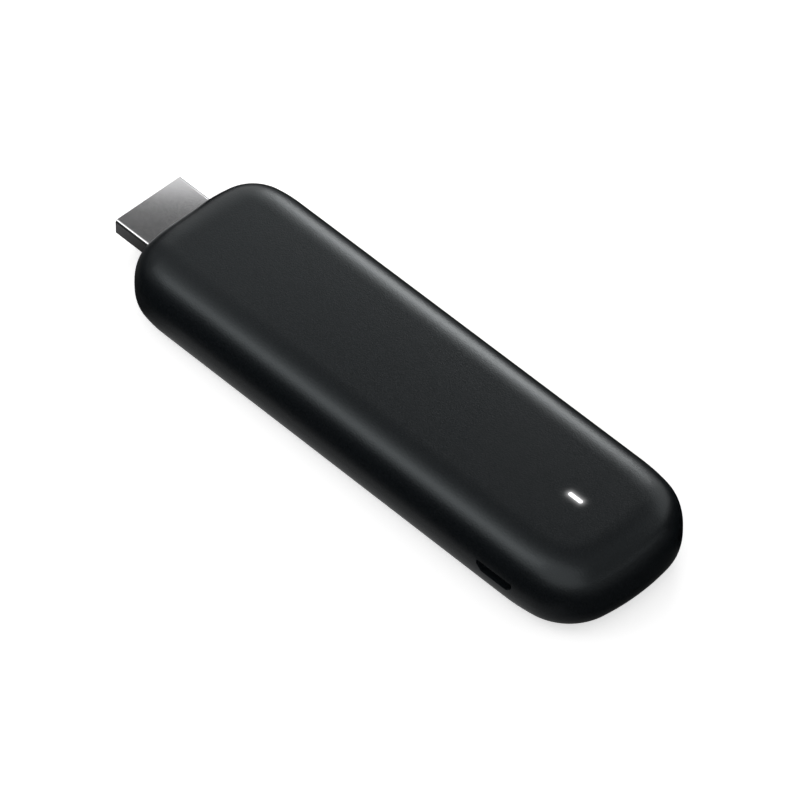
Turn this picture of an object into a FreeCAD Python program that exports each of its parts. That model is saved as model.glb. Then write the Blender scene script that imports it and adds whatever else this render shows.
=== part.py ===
"""Streaming media stick: a flat pillow-shaped housing with a bare HDMI plug at one end.

Frame: X runs along the stick, from the plug's tip to the lamp end, Y across it with the power
port on the -Y side, Z up from the flat bottom. The origin is the middle of the footprint.
All lengths are in millimetres.
"""
import FreeCAD, Part
import math
import os
import re
import Sketcher

DOC = FreeCAD.newDocument("MediaStick")
SHEET = DOC.addObject("Spreadsheet::Sheet", "Sizes")

# Driving sizes
SIZES = [
    # Housing
    ("body_length", 100.9),
    ("body_width", 30.8),
    ("body_height", 12.8),
    ("wall", 1.5),
    ("top_rounding", 5.9),
    ("bottom_rounding", 4.3),
    ("plug_end_reach", 11.25),
    ("plug_end_span", 11.7),
    ("plug_end_bend", 8.0),
    ("plug_end_turn", 12.0),
    ("far_end_reach", 14.55),
    ("far_end_bend", 10.0),
    ("far_end_turn", 10.0),
    # Seam between the covers
    ("seam_height", 4.65),
    ("seam_gap", 0.05),
    ("lip_thickness", 0.7),
    ("lip_rise", 1.0),
    ("lip_clearance", 0.05),
    # Snap hooks
    ("hook_count", 3),
    ("hook_pitch", 29.0),
    ("hook_setback", 16.0),
    ("hook_width", 6.0),
    ("hook_thickness", 1.0),
    ("hook_bite", 0.45),
    ("hook_ledge", 1.6),
    ("hook_lead", 0.8),
    ("hook_clearance", 0.1),
    # Board posts
    ("post_setback", 13.5),
    ("post_edge", 2.0),
    ("far_post_setback", 5.9),
    ("post_side", 3.0),
    ("pin_radius", 0.7),
    ("pin_rise", 0.9),
    ("pin_clearance", 0.1),
    # Inner ribs
    ("root_depth", 0.3),
    ("rib_count", 3),
    ("rib_thickness", 1.0),
    ("rib_pitch", 7.0),
    ("rib_margin", 3.0),
    ("plug_rib_setback", 3.9),
    ("plug_rib_pitch", 1.95),
    # HDMI plug
    ("plug_reach", 7.9),
    ("plug_width", 13.9),
    ("plug_thickness", 4.45),
    ("plug_side", 2.5),
    ("plug_floor_width", 10.4),
    ("plug_height", 5.05),
    ("plug_sheet", 0.3),
    ("plug_inner_length", 6.5),
    ("plug_corner", 0.45),
    ("plug_rim", 0.12),
    ("plug_clearance", 0.12),
    ("plug_seam", 0.1),
    ("window_length", 1.6),
    ("window_width", 1.2),
    ("window_offset", 2.6),
    ("window_setback", 4.6),
    ("leg_length", 3.0),
    ("leg_height", 1.6),
    # Plug insulator and its contacts
    ("insulator_recess", 0.5),
    ("insulator_tail", 1.0),
    ("insulator_clearance", 0.05),
    ("slot_width", 10.6),
    ("slot_height", 1.9),
    ("slot_depth", 6.8),
    ("contact_pitch", 1.0),
    ("contact_width", 0.4),
    ("contact_thickness", 0.25),
    ("contact_setback", 0.5),
    ("contact_ramp", 1.6),
    ("contact_crest", 1.0),
    ("contact_spring", 5.4),
    ("contact_bow", 0.4),
    ("contact_channel", 0.35),
    ("contact_tail", 1.6),
    ("upper_contacts", 10),
    ("lower_contacts", 9),
    # Main board
    ("board_thickness", 1.0),
    ("board_inset", 3.0),
    ("board_gap", 0.5),
    ("board_corner", 1.2),
    # Power port in the housing
    ("port_setback", 16.1),
    ("port_height", 5.6),
    ("port_width", 7.45),
    ("port_rise", 1.9),
    ("port_side", 0.9),
    ("port_floor_width", 5.45),
    # Power socket on the board
    ("socket_gap", 0.1),
    ("socket_depth", 5.0),
    ("socket_width", 6.9),
    ("socket_rise", 1.85),
    ("socket_side", 0.9),
    ("socket_floor_width", 5.1),
    ("socket_sheet", 0.3),
    ("socket_corner", 0.35),
    ("socket_wing", 1.5),
    ("wing_width", 1.2),
    ("wing_setback", 2.25),
    ("wing_pitch", 2.0),
    ("wing_count", 2),
    ("socket_clearance", 0.1),
    ("socket_back", 1.2),
    ("tongue_width", 3.9),
    ("tongue_thickness", 0.6),
    ("tongue_recess", 0.7),
    ("pad_pitch", 0.65),
    ("pad_width", 0.35),
    ("pad_thickness", 0.15),
    ("pad_count", 5),
    ("pad_tail", 1.1),
    # Status lamp and its light pipe
    ("lamp_setback", 14.3),
    ("lamp_length", 2.85),
    ("lamp_width", 0.76),
    ("lamp_clearance", 0.03),
    ("pipe_flange_length", 4.6),
    ("pipe_flange_width", 3.0),
    ("pipe_flange", 0.9),
    ("pipe_stem_width", 1.5),
    ("pipe_gap", 0.15),
    ("collar_wall", 0.8),
    ("collar_drop", 1.6),
    ("led_length", 1.6),
    ("led_width", 0.8),
    ("led_height", 0.6),
    # Shields
    ("shield_setback", 12.5),
    ("shield_length", 38.0),
    ("shield_width", 21.0),
    ("shield_height", 1.8),
    ("shield_sheet", 0.2),
    ("shield_corner", 0.8),
    ("shield_flange", 0.7),
    ("lid_clearance", 0.05),
    ("lid_lift", 0.3),
    ("vent_length", 3.0),
    ("vent_width", 0.8),
    ("vent_pitch", 4.5),
    ("vent_offset", 9.0),
    ("vent_count", 3),
    ("can_setback", 15.5),
    ("can_length", 24.0),
    ("can_width", 19.0),
    ("can_height", 1.3),
    # Chips under the shields
    ("processor_setback", 5.0),
    ("processor_side", 14.0),
    ("processor_height", 1.1),
    ("memory_setback", 24.5),
    ("memory_length", 7.5),
    ("memory_width", 9.0),
    ("memory_height", 0.9),
    ("memory_offset", 5.0),
    ("storage_length", 11.5),
    ("storage_width", 13.0),
    ("storage_height", 0.8),
    ("crystal_length", 2.0),
    ("crystal_width", 2.5),
    ("crystal_height", 0.7),
    ("crystal_setback", 1.2),
    ("chip_corner", 0.8),
    # Heat path
    ("top_pad_length", 30.0),
    ("top_pad_width", 16.0),
    ("top_pad_thickness", 1.0),
    ("bottom_pad_length", 20.0),
    ("bottom_pad_width", 14.0),
    ("bottom_pad_thickness", 0.5),
    ("chip_pad_border", 1.0),
    ("spreader_length", 55.0),
    ("spreader_width", 23.0),
    ("spreader_setback", 9.5),
    ("spreader_thickness", 0.8),
    ("lower_spreader_thickness", 0.5),
    ("spreader_corner", 2.0),
    ("spreader_clearance", 0.2),
    # Wireless module
    ("wifi_setback", 7.0),
    ("wifi_side", 12.0),
    ("wifi_offset", 4.5),
    ("wifi_board", 0.6),
    ("wifi_can_side", 10.8),
    ("wifi_can_height", 1.2),
    # Power parts
    ("power_setback", 5.5),
    ("power_side", 5.0),
    ("power_height", 0.9),
    ("power_edge", 2.9),
    ("coil_side", 4.0),
    ("coil_height", 1.9),
    ("coil_setback", 11.0),
    ("coil_pitch", 4.8),
    ("coil_offset", 4.8),
    ("coil_count", 3),
    # Surge protectors behind the plug
    ("surge_setback", 6.5),
    ("surge_length", 1.2),
    ("surge_width", 2.4),
    ("surge_height", 0.6),
    ("surge_pitch", 3.2),
    ("surge_count", 4),
    # Capacitors
    ("cap_length", 0.6),
    ("cap_width", 1.1),
    ("cap_height", 0.6),
    ("cap_pitch", 1.6),
    ("cap_count", 9),
    ("cap_offset", 8.6),
    ("lower_cap_offset", 11.2),
    # Antennas at the far end
    ("antenna_setback", 10.8),
    ("antenna_width", 5.0),
    ("antenna_gap", 0.9),
    ("antenna_height", 3.0),
    ("antenna_edge", 2.8),
    ("antenna_sheet", 0.25),
    ("antenna_foot", 1.2),
    ("antenna_slot", 0.7),
    ("antenna_slot_pitch", 1.7),
    ("antenna_slot_count", 2),
    # How far a cut starts outside the material
    ("cut_margin", 1.0),
]

for row, (alias, size) in enumerate(SIZES, 1):
    SHEET.set("A%d" % row, alias)
    SHEET.set("B%d" % row, str(size))
    SHEET.setAlias("B%d" % row, alias)
DOC.recompute()

ALIASES = {alias for alias, size in SIZES}

# Places worked out from the driving sizes
TIP = "(0 - (body_length + plug_reach) / 2)"
BODY_START = f"({TIP} + plug_reach)"
BODY_END = "((body_length + plug_reach) / 2)"
HALF_WIDTH = "(body_width / 2)"
BOARD_EDGE = f"({HALF_WIDTH} - board_inset)"
CEILING = "(body_height - wall)"
LOWER_RIM = "(seam_height - seam_gap)"
PLUG_TOP = "(plug_height + plug_thickness / 2)"
PLUG_BOTTOM = "(plug_height - plug_thickness / 2)"
PLUG_REAR = f"({BODY_START} + plug_inner_length)"
INSULATOR_END = f"({PLUG_REAR} + insulator_tail)"
BOARD_START = f"({INSULATOR_END} + board_gap)"
BOARD_TOP = "(plug_height + board_thickness / 2)"
BOARD_BOTTOM = "(plug_height - board_thickness / 2)"
PORT_X = f"({BODY_END} - port_setback)"
SOCKET_FACE = f"(0 - {HALF_WIDTH} + wall + socket_gap)"
SOCKET_REAR = f"({SOCKET_FACE} + socket_depth)"
LAMP_X = f"({BODY_END} - lamp_setback)"
SHIELD_START = f"({BOARD_START} + shield_setback)"
SHIELD_END = f"({SHIELD_START} + shield_length)"
LID_TOP = f"({BOARD_TOP} + shield_height)"
PROCESSOR_TOP = f"({BOARD_TOP} + processor_height)"
PROCESSOR_X = f"({SHIELD_START} + processor_setback + processor_side / 2)"
CAN_START = f"({BOARD_START} + can_setback)"
CAN_X = f"({CAN_START} + can_length / 2)"
CAN_BOTTOM = f"({BOARD_BOTTOM} - can_height)"
SPREADER_START = f"({BODY_START} + spreader_setback)"
SPREADER_END = f"({SPREADER_START} + spreader_length)"
SPREADER_BASE = f"({LID_TOP} + top_pad_thickness)"
SPREADER_TOP = f"({SPREADER_BASE} + spreader_thickness)"
LOWER_SPREADER_TOP = f"({CAN_BOTTOM} - bottom_pad_thickness)"
LOWER_SPREADER_BASE = f"({LOWER_SPREADER_TOP} - lower_spreader_thickness)"
COIL_X = f"({SHIELD_END} + coil_setback + coil_side / 2)"

# Sketcher's codes for the sketch's own origin and for the points of a line, arc or circle
ORIGIN = -1
START, END, CENTRE = range(1, 4)

# Two lengths closer than this are taken as the same
TOUCH = 1e-4

PIECES = []


def bound(formula):
    """Put the sheet's name before each of its aliases in a formula."""
    return re.sub(
        r"[a-z][a-z0-9_]*",
        lambda word: f"Sizes.{word.group()}" if word.group() in ALIASES else word.group(),
        formula,
    )


def number(formula):
    """The present value of a formula of sheet aliases."""
    return float(SHEET.evalExpression(bound(formula)))


def spread(count, pitch, index):
    """Place of one copy in a centred row of evenly spaced copies, as a formula."""
    return f"(({index} - ({count} - 1) / 2) * {pitch})"


def new_body(label):
    """A body for one piece; its label names the piece's file."""
    body = DOC.addObject("PartDesign::Body", label)
    body.Label = label
    PIECES.append(body)
    return body


def origin_part(body, role):
    """A plane or axis of the body's own origin."""
    return next(item for item in body.Origin.OriginFeatures if item.Role == role)


def new_sketch(body, name, plane, offset="0"):
    """A sketch on one of the body's origin planes, moved along that plane's normal."""
    sketch = body.newObject("Sketcher::SketchObject", name)
    sketch.AttachmentSupport = [(origin_part(body, plane), "")]
    sketch.MapMode = "FlatFace"
    sketch.setExpression("AttachmentOffset.Base.z", bound(offset))
    return sketch


def level_sketch(body, name, height):
    """A sketch seen from above, at a height."""
    return new_sketch(body, name, "XY_Plane", height)


def front_sketch(body, name, place):
    """A sketch in X and Z at a place along Y; that plane's normal points to -Y."""
    return new_sketch(body, name, "XZ_Plane", f"0 - {place}")


def end_sketch(body, name, place):
    """A sketch in Y and Z at a place along X."""
    return new_sketch(body, name, "YZ_Plane", place)


def bind_last(sketch, formula):
    """Bind the newest constraint of a sketch to the sheet."""
    sketch.setExpression(f"Constraints[{sketch.ConstraintCount - 1}]", bound(formula))


def pin(sketch, shape, point, place):
    """Fix one point of a sketch by its two coordinates, both bound to the sheet."""
    for kind, formula in zip(("DistanceX", "DistanceY"), place):
        sketch.addConstraint(Sketcher.Constraint(kind, ORIGIN, START, shape, point, number(formula)))
        bind_last(sketch, formula)


def join(sketch, first, second):
    """The end of one curve is the start of the next."""
    sketch.addConstraint(Sketcher.Constraint("Coincident", first, END, second, START))


def vector(place):
    """A point of a sketch from its two formulas."""
    return FreeCAD.Vector(number(place[0]), number(place[1]), 0)


def polygon(sketch, corners):
    """A closed loop of straight lines through pinned corners."""
    points = [vector(corner) for corner in corners]
    following = points[1:] + points[:1]
    lines = [sketch.addGeometry(Part.LineSegment(a, b), False) for a, b in zip(points, following)]
    for first, second in zip(lines, lines[1:] + lines[:1]):
        join(sketch, first, second)
    for shape, corner in zip(lines, corners):
        pin(sketch, shape, START, corner)


def rectangle(sketch, low_x, high_x, low_y, high_y):
    """A closed rectangle between two pairs of coordinates."""
    polygon(sketch, [(low_x, low_y), (high_x, low_y), (high_x, high_y), (low_x, high_y)])


def centred_rectangle(sketch, centre, length, width):
    """A closed rectangle about a centre."""
    mid_x, mid_y = centre
    rectangle(
        sketch,
        f"{mid_x} - {length} / 2",
        f"{mid_x} + {length} / 2",
        f"{mid_y} - {width} / 2",
        f"{mid_y} + {width} / 2",
    )


def circle(sketch, centre, radius):
    """A circle with its centre pinned and its radius bound."""
    shape = Part.Circle(vector(centre), FreeCAD.Vector(0, 0, 1), number(radius))
    round_line = sketch.addGeometry(shape, False)
    pin(sketch, round_line, CENTRE, centre)
    sketch.addConstraint(Sketcher.Constraint("Radius", round_line, number(radius)))
    bind_last(sketch, radius)


def slot(sketch, centre, length, width):
    """A slot along the sketch's first axis: two straight sides and two half-round ends."""
    mid_x, mid_y = centre
    half_run = f"({length} - {width}) / 2"
    radius = f"{width} / 2"
    right_place = (f"{mid_x} + {half_run}", mid_y)
    left_place = (f"{mid_x} - {half_run}", mid_y)
    up = FreeCAD.Vector(0, 0, 1)
    rise = FreeCAD.Vector(0, number(radius), 0)
    right_circle = Part.Circle(vector(right_place), up, number(radius))
    left_circle = Part.Circle(vector(left_place), up, number(radius))
    quarter = math.pi / 2
    right = sketch.addGeometry(Part.ArcOfCircle(right_circle, -quarter, quarter), False)
    top_line = Part.LineSegment(vector(right_place) + rise, vector(left_place) + rise)
    top = sketch.addGeometry(top_line, False)
    left = sketch.addGeometry(Part.ArcOfCircle(left_circle, quarter, 3 * quarter), False)
    low_line = Part.LineSegment(vector(left_place) - rise, vector(right_place) - rise)
    low = sketch.addGeometry(low_line, False)
    pin(sketch, right, CENTRE, right_place)
    pin(sketch, left, CENTRE, left_place)
    sketch.addConstraint(Sketcher.Constraint("Radius", right, number(radius)))
    bind_last(sketch, radius)
    sketch.addConstraint(Sketcher.Constraint("Equal", right, left))
    for first, second in ((right, top), (top, left), (left, low), (low, right)):
        sketch.addConstraint(Sketcher.Constraint("Tangent", first, END, second, START))


def arc(first, last, radius):
    """An arc between two points that turns to the left, as sketch geometry."""
    chord = last - first
    rise = math.sqrt(radius ** 2 - (chord.Length / 2) ** 2)
    left = FreeCAD.Vector(-chord.y, chord.x, 0).normalize()
    centre = first + chord * 0.5 + left * rise
    start = math.atan2(first.y - centre.y, first.x - centre.x)
    finish = math.atan2(last.y - centre.y, last.x - centre.x)
    return Part.ArcOfCircle(Part.Circle(centre, FreeCAD.Vector(0, 0, 1), radius), start, finish)


def outline(sketch, places, radii):
    """A closed loop through pinned places, leftwards; a place's radius is None before a line."""
    points = [vector(place) for place in places]
    shapes = []
    for first, last, radius in zip(points, points[1:] + points[:1], radii):
        if radius is None:
            shape = Part.LineSegment(first, last)
        else:
            shape = arc(first, last, number(radius))
        shapes.append(sketch.addGeometry(shape, False))
    for first, second in zip(shapes, shapes[1:] + shapes[:1]):
        join(sketch, first, second)
    for shape, place, radius in zip(shapes, places, radii):
        pin(sketch, shape, START, place)
        if radius is not None:
            sketch.addConstraint(Sketcher.Constraint("Radius", shape, number(radius)))
            bind_last(sketch, radius)


def corner(end, way, side, inset):
    """Places and radii of one corner's three arcs, from the long side to the end.

    Two wide arcs ease into the bend between them. The arcs keep their centres when the outline
    is drawn inwards. The way is 1 towards +X and -1 towards -X.
    """
    face = {"plug_end": BODY_START, "far_end": BODY_END}[end]
    span = {"plug_end": "plug_end_span", "far_end": HALF_WIDTH}[end]
    sine = f"sin({end}_turn)"
    cosine = f"cos({end}_turn)"
    run = f"({end}_reach - {end}_bend * ({cosine} - {sine}))"
    drop = f"({span} - {end}_bend * ({cosine} - {sine}))"
    share = f"({sine}^2 - (1 - {cosine})^2)"
    side_radius = f"(({run} * {sine} - {drop} * (1 - {cosine})) / {share})"
    end_radius = f"(({drop} * {sine} - {run} * (1 - {cosine})) / {share})"
    foot = f"({face} - {way} * {end}_reach)"
    end_level = f"({HALF_WIDTH} - {span})"
    places = [
        (foot, f"{side} * ({HALF_WIDTH} - {inset})"),
        (
            f"{foot} + {way} * ({side_radius} - {inset}) * {sine}",
            f"{side} * ({HALF_WIDTH} - {side_radius} + ({side_radius} - {inset}) * {cosine})",
        ),
        (
            f"{face} - {way} * ({end_radius} - ({end_radius} - {inset}) * {cosine})",
            f"{side} * ({end_level} + ({end_radius} - {inset}) * {sine})",
        ),
        (f"{face} - {way} * {inset}", f"{side} * {end_level}"),
    ]
    radii = [f"({radius} - {inset})" for radius in (side_radius, f"{end}_bend", end_radius)]
    return places, radii


def far_end(inset):
    """The rounded far end, leftwards from the -Y side: places and radii up to the last place."""
    near_places, near_radii = corner("far_end", "1", "-1", inset)
    places, radii = corner("far_end", "1", "1", inset)
    return near_places + places[-2::-1], near_radii + radii[::-1]


def housing_outline(sketch, inset):
    """The stick's plan, drawn in from the outside by inset: soft corners and a curved far end."""
    far_places, far_radii = far_end(inset)
    left_places, left_radii = corner("plug_end", "-1", "1", inset)
    right_places, right_radii = corner("plug_end", "-1", "-1", inset)
    places = far_places + left_places + right_places[::-1]
    radii = far_radii + [None] + left_radii + [None] + right_radii[::-1] + [None]
    outline(sketch, places, radii)


def pad(body, sketch, length, downward=False, both_ways=False):
    """Add material from a sketch along its normal."""
    feature = body.newObject("PartDesign::Pad", sketch.Name + "Pad")
    feature.Profile = sketch
    feature.Reversed = downward
    feature.SideType = "Symmetric" if both_ways else "One side"
    feature.setExpression("Length", bound(length))
    return feature


def pocket(body, sketch, length, with_normal=False):
    """Remove material from a sketch, against its normal unless said otherwise."""
    feature = body.newObject("PartDesign::Pocket", sketch.Name + "Pocket")
    feature.Profile = sketch
    feature.Reversed = with_normal
    feature.setExpression("Length", bound(length))
    return feature


def level_edges(feature, height):
    """Names of the edges that lie flat at a height."""
    level = number(height)
    names = []
    for index, edge in enumerate(feature.Shape.Edges, 1):
        box = edge.BoundBox
        if abs(box.ZMin - level) < TOUCH and abs(box.ZMax - level) < TOUCH:
            names.append(f"Edge{index}")
    return names


def straight_edges(feature, axis, keep=lambda middle: True):
    """Names of the straight edges along an axis whose middle passes a test."""
    names = []
    for index, edge in enumerate(feature.Shape.Edges, 1):
        along = getattr(edge.BoundBox, f"{axis}Length")
        if edge.Curve.TypeId == "Part::GeomLine" and abs(along - edge.Length) < TOUCH:
            if keep(edge.BoundBox.Center):
                names.append(f"Edge{index}")
    return names


def fillet(body, feature, names, radius):
    """Round edges of the body's last feature."""
    rounded = body.newObject("PartDesign::Fillet", feature.Name + "Fillet")
    rounded.Base = (feature, names)
    rounded.setExpression("Radius", bound(radius))
    DOC.recompute()
    return rounded


def chamfer(body, feature, names, size):
    """Bevel edges of the body's last feature."""
    bevelled = body.newObject("PartDesign::Chamfer", feature.Name + "Chamfer")
    bevelled.Base = (feature, names)
    bevelled.setExpression("Size", bound(size))
    DOC.recompute()
    return bevelled


def post_places():
    """Centres of the three board posts: a pair behind the plug and one at the far end."""
    pair = [
        (f"({BODY_START} + post_setback)", f"({side} * ({BOARD_EDGE} - post_edge))")
        for side in ("1", "-1")
    ]
    return pair + [(f"({BODY_END} - far_post_setback)", "0")]


def pin_places():
    """Two of the posts carry a pin; two pins fix the board's place."""
    return post_places()[1:]


def plug_profile(sketch, growth):
    """The plug's outline across X: wide on top, with sloping lower corners."""
    slope = "atan((plug_width - plug_floor_width) / 2 / (plug_thickness - plug_side))"
    half_top = f"(plug_width / 2 + {growth})"
    half_floor = f"(plug_floor_width / 2 + {growth} * tan((90 deg - {slope}) / 2))"
    roof = f"({PLUG_TOP} + {growth})"
    knee = f"({PLUG_TOP} - plug_side - {growth} * tan({slope} / 2))"
    floor = f"({PLUG_BOTTOM} - {growth})"
    polygon(sketch, [
        (f"0 - {half_floor}", floor),
        (half_floor, floor),
        (half_top, knee),
        (half_top, roof),
        (f"0 - {half_top}", roof),
        (f"0 - {half_top}", knee),
    ])


def port_profile(sketch, width, rise, side, floor_width, growth="0"):
    """The power port's outline across Y: flat on top, with sloping lower corners."""
    half_top = f"({width} / 2 + {growth})"
    half_floor = f"({floor_width} / 2 + {growth} / 2)"
    roof = f"(port_height + {rise} / 2 + {growth})"
    knee = f"(port_height + {rise} / 2 - {side} - {growth} / 2)"
    floor = f"(port_height - {rise} / 2 - {growth})"
    polygon(sketch, [
        (f"{PORT_X} - {half_floor}", floor),
        (f"{PORT_X} + {half_floor}", floor),
        (f"{PORT_X} + {half_top}", knee),
        (f"{PORT_X} + {half_top}", roof),
        (f"{PORT_X} - {half_top}", roof),
        (f"{PORT_X} - {half_top}", knee),
    ])


def cut_plug_opening(body):
    """The opening in the end wall that the plug's shell passes through."""
    sketch = end_sketch(body, "PlugOpening", f"{BODY_START} - cut_margin")
    plug_profile(sketch, "plug_clearance")
    pocket(body, sketch, "cut_margin + 2 * wall", with_normal=True)


def cut_power_port(body):
    """The opening in the side wall in front of the power socket."""
    sketch = front_sketch(body, "PowerPort", f"(0 - {HALF_WIDTH} - cut_margin)")
    port_profile(sketch, "port_width", "port_rise", "port_side", "port_floor_width")
    pocket(body, sketch, "cut_margin + wall + socket_gap / 2")


# Covers


def hollow_out(body, name, base, room, bevelled_level, rounding):
    """Take a bevelled copy of the outline, one wall smaller, out of a cover.

    The bevel touches the arc that runs one wall inside the cover's own rounding.
    """
    tool = DOC.addObject("PartDesign::Body", name)
    sketch = level_sketch(tool, name + "Outline", base)
    housing_outline(sketch, "wall")
    block = pad(tool, sketch, room)
    DOC.recompute()
    chamfer(tool, block, level_edges(block, bevelled_level), f"({rounding} - wall) * (2 - sqrt(2))")
    cut = body.newObject("PartDesign::Boolean", name + "Cut")
    cut.Type = "Cut"
    cut.setObjects([tool])
    DOC.recompute()


def make_top_cover():
    body = new_body("top_cover")
    sketch = level_sketch(body, "TopOutline", "seam_height")
    housing_outline(sketch, "0")
    block = pad(body, sketch, "body_height - seam_height")
    DOC.recompute()
    fillet(body, block, level_edges(block, "body_height"), "top_rounding")

    room = f"{CEILING} - seam_height + cut_margin"
    hollow_out(body, "TopHollow", "seam_height - cut_margin", room, CEILING, "top_rounding")

    groove = level_sketch(body, "LipGroove", "seam_height")
    housing_outline(groove, "(wall - lip_thickness - lip_clearance)")
    pocket(body, groove, "lip_rise + lip_clearance", with_normal=True)

    add_hook_recesses(body)
    add_top_posts(body)
    add_top_ribs(body)
    add_lamp_seat(body)
    cut_plug_opening(body)
    cut_power_port(body)


def add_hook_recesses(body):
    """Windows inside the long walls that the bottom cover's hooks snap into."""
    base = "(seam_height + hook_ledge - lip_clearance)"
    sketch = level_sketch(body, "HookRecess", base)
    depth = "(hook_bite + hook_clearance)"
    inner = f"({HALF_WIDTH} - wall)"
    for side in ("1", "-1"):
        centred_rectangle(
            sketch,
            (f"({BODY_START} + hook_setback)", f"({side} * {inner})"),
            "(hook_width + 2 * hook_clearance)",
            f"(2 * {depth})",
        )
    recess = pocket(body, sketch, "hook_lead + 2 * hook_clearance", with_normal=True)
    row_of_hooks(body, recess)


def row_of_hooks(body, feature):
    """Repeat a hook feature along the stick."""
    pattern = body.newObject("PartDesign::LinearPattern", feature.Name + "Row")
    pattern.Originals = [feature]
    pattern.Direction = (origin_part(body, "X_Axis"), [""])
    pattern.setExpression("Occurrences", bound("hook_count"))
    pattern.setExpression("Length", bound("hook_pitch * (hook_count - 1)"))
    body.Tip = pattern
    return pattern


def add_top_posts(body):
    """Square posts from the ceiling to the board, two of them with a blind hole for a pin."""
    sketch = level_sketch(body, "TopPosts", BOARD_TOP)
    for place in post_places():
        centred_rectangle(sketch, place, "post_side", "post_side")
    pad(body, sketch, f"{CEILING} + root_depth - {BOARD_TOP}")
    holes = level_sketch(body, "PinSockets", BOARD_TOP)
    for place in pin_places():
        circle(holes, place, "(pin_radius + pin_clearance)")
    pocket(body, holes, "pin_rise + pin_clearance", with_normal=True)


def add_top_ribs(body):
    """Long ribs that press the heat spreader down, and two cross ribs over the plug."""
    ribs = level_sketch(body, "SpreaderRibs", SPREADER_TOP)
    start = f"({SPREADER_START} + rib_margin)"
    finish = f"({SPREADER_END} - rib_margin)"
    for index in range(int(number("rib_count"))):
        middle = spread("rib_count", "rib_pitch", index)
        half = "rib_thickness / 2"
        rectangle(ribs, start, finish, f"{middle} - {half}", f"{middle} + {half}")
    pad(body, ribs, f"{CEILING} + root_depth - {SPREADER_TOP}")
    press = level_sketch(body, "PlugPress", PLUG_TOP)
    for place in plug_rib_places():
        centred_rectangle(press, (place, "0"), "rib_thickness", "plug_floor_width")
    pad(body, press, f"{CEILING} + root_depth - {PLUG_TOP}")


def plug_rib_places():
    """Places along X of the two cross ribs that hold the plug."""
    first = f"({BODY_START} + plug_rib_setback)"
    return [first, f"({first} + plug_rib_pitch)"]


def add_lamp_seat(body):
    """The slot in the roof and a square collar round the light pipe's flange."""
    base = f"({CEILING} - collar_drop)"
    collar = level_sketch(body, "LampCollar", base)
    inner_length = "(pipe_flange_length + 2 * lamp_clearance)"
    inner_width = "(pipe_flange_width + 2 * lamp_clearance)"
    centre = (LAMP_X, "0")
    centred_rectangle(collar, centre, inner_length, inner_width)
    centred_rectangle(
        collar,
        centre,
        f"({inner_length} + 2 * collar_wall)",
        f"({inner_width} + 2 * collar_wall)",
    )
    pad(body, collar, "collar_drop + root_depth")
    opening = level_sketch(body, "LampSlot", "body_height")
    slot(opening, centre, "lamp_length", "lamp_width")
    pocket(body, opening, "2 * wall")


def make_bottom_cover():
    body = new_body("bottom_cover")
    sketch = level_sketch(body, "BottomOutline", "0")
    housing_outline(sketch, "0")
    block = pad(body, sketch, LOWER_RIM)
    DOC.recompute()
    fillet(body, block, level_edges(block, "0"), "bottom_rounding")

    hollow_out(body, "BottomHollow", "wall", "seam_height", "wall", "bottom_rounding")

    lip = level_sketch(body, "Lip", LOWER_RIM)
    housing_outline(lip, "(wall - lip_thickness)")
    housing_outline(lip, "wall")
    pad(body, lip, "lip_rise")

    add_bosses(body)
    add_bottom_ribs(body)
    add_hooks(body)
    cut_plug_opening(body)
    cut_power_port(body)


def add_bosses(body):
    """Square bosses that carry the board, two of them with a pin that passes through it."""
    sketch = level_sketch(body, "Bosses", "wall - root_depth")
    for place in post_places():
        centred_rectangle(sketch, place, "post_side", "post_side")
    pad(body, sketch, f"{BOARD_BOTTOM} - wall + root_depth")
    pins = level_sketch(body, "Pins", BOARD_BOTTOM)
    for place in pin_places():
        circle(pins, place, "pin_radius")
    pad(body, pins, "board_thickness + pin_rise")


def add_bottom_ribs(body):
    """Long ribs under the lower heat spreader, and two cross ribs under the plug."""
    ribs = level_sketch(body, "FloorRibs", "wall - root_depth")
    start = f"({SPREADER_START} + rib_margin)"
    finish = f"({SPREADER_END} - rib_margin)"
    for index in range(int(number("rib_count"))):
        middle = spread("rib_count", "rib_pitch", index)
        half = "rib_thickness / 2"
        rectangle(ribs, start, finish, f"{middle} - {half}", f"{middle} + {half}")
    pad(body, ribs, f"{LOWER_SPREADER_BASE} - wall + root_depth")
    cradle = level_sketch(body, "PlugCradle", "wall - root_depth")
    for place in plug_rib_places():
        centred_rectangle(cradle, (place, "0"), "rib_thickness", "(plug_floor_width - 2 * plug_sheet)")
    pad(body, cradle, f"{PLUG_BOTTOM} - wall + root_depth")


def add_hooks(body):
    """Springy tabs along both long walls, each with a barb near its top."""
    sketch = end_sketch(body, "Hook", f"({BODY_START} + hook_setback - hook_width / 2)")
    outer = f"({HALF_WIDTH} - wall)"
    inner = f"({outer} - hook_thickness)"
    ledge = "(seam_height + hook_ledge)"
    top = f"({ledge} + hook_lead)"
    for side in ("1", "-1"):
        polygon(sketch, [
            (f"{side} * {inner}", "bottom_rounding / 2"),
            (f"{side} * {outer}", "bottom_rounding / 2"),
            (f"{side} * {outer}", ledge),
            (f"{side} * ({outer} + hook_bite)", ledge),
            (f"{side} * ({outer} + hook_bite)", f"{ledge} + hook_lead / 3"),
            (f"{side} * {outer}", top),
            (f"{side} * {inner}", top),
        ])
    hook = pad(body, sketch, "hook_width")
    row_of_hooks(body, hook)


# Plug


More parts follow.
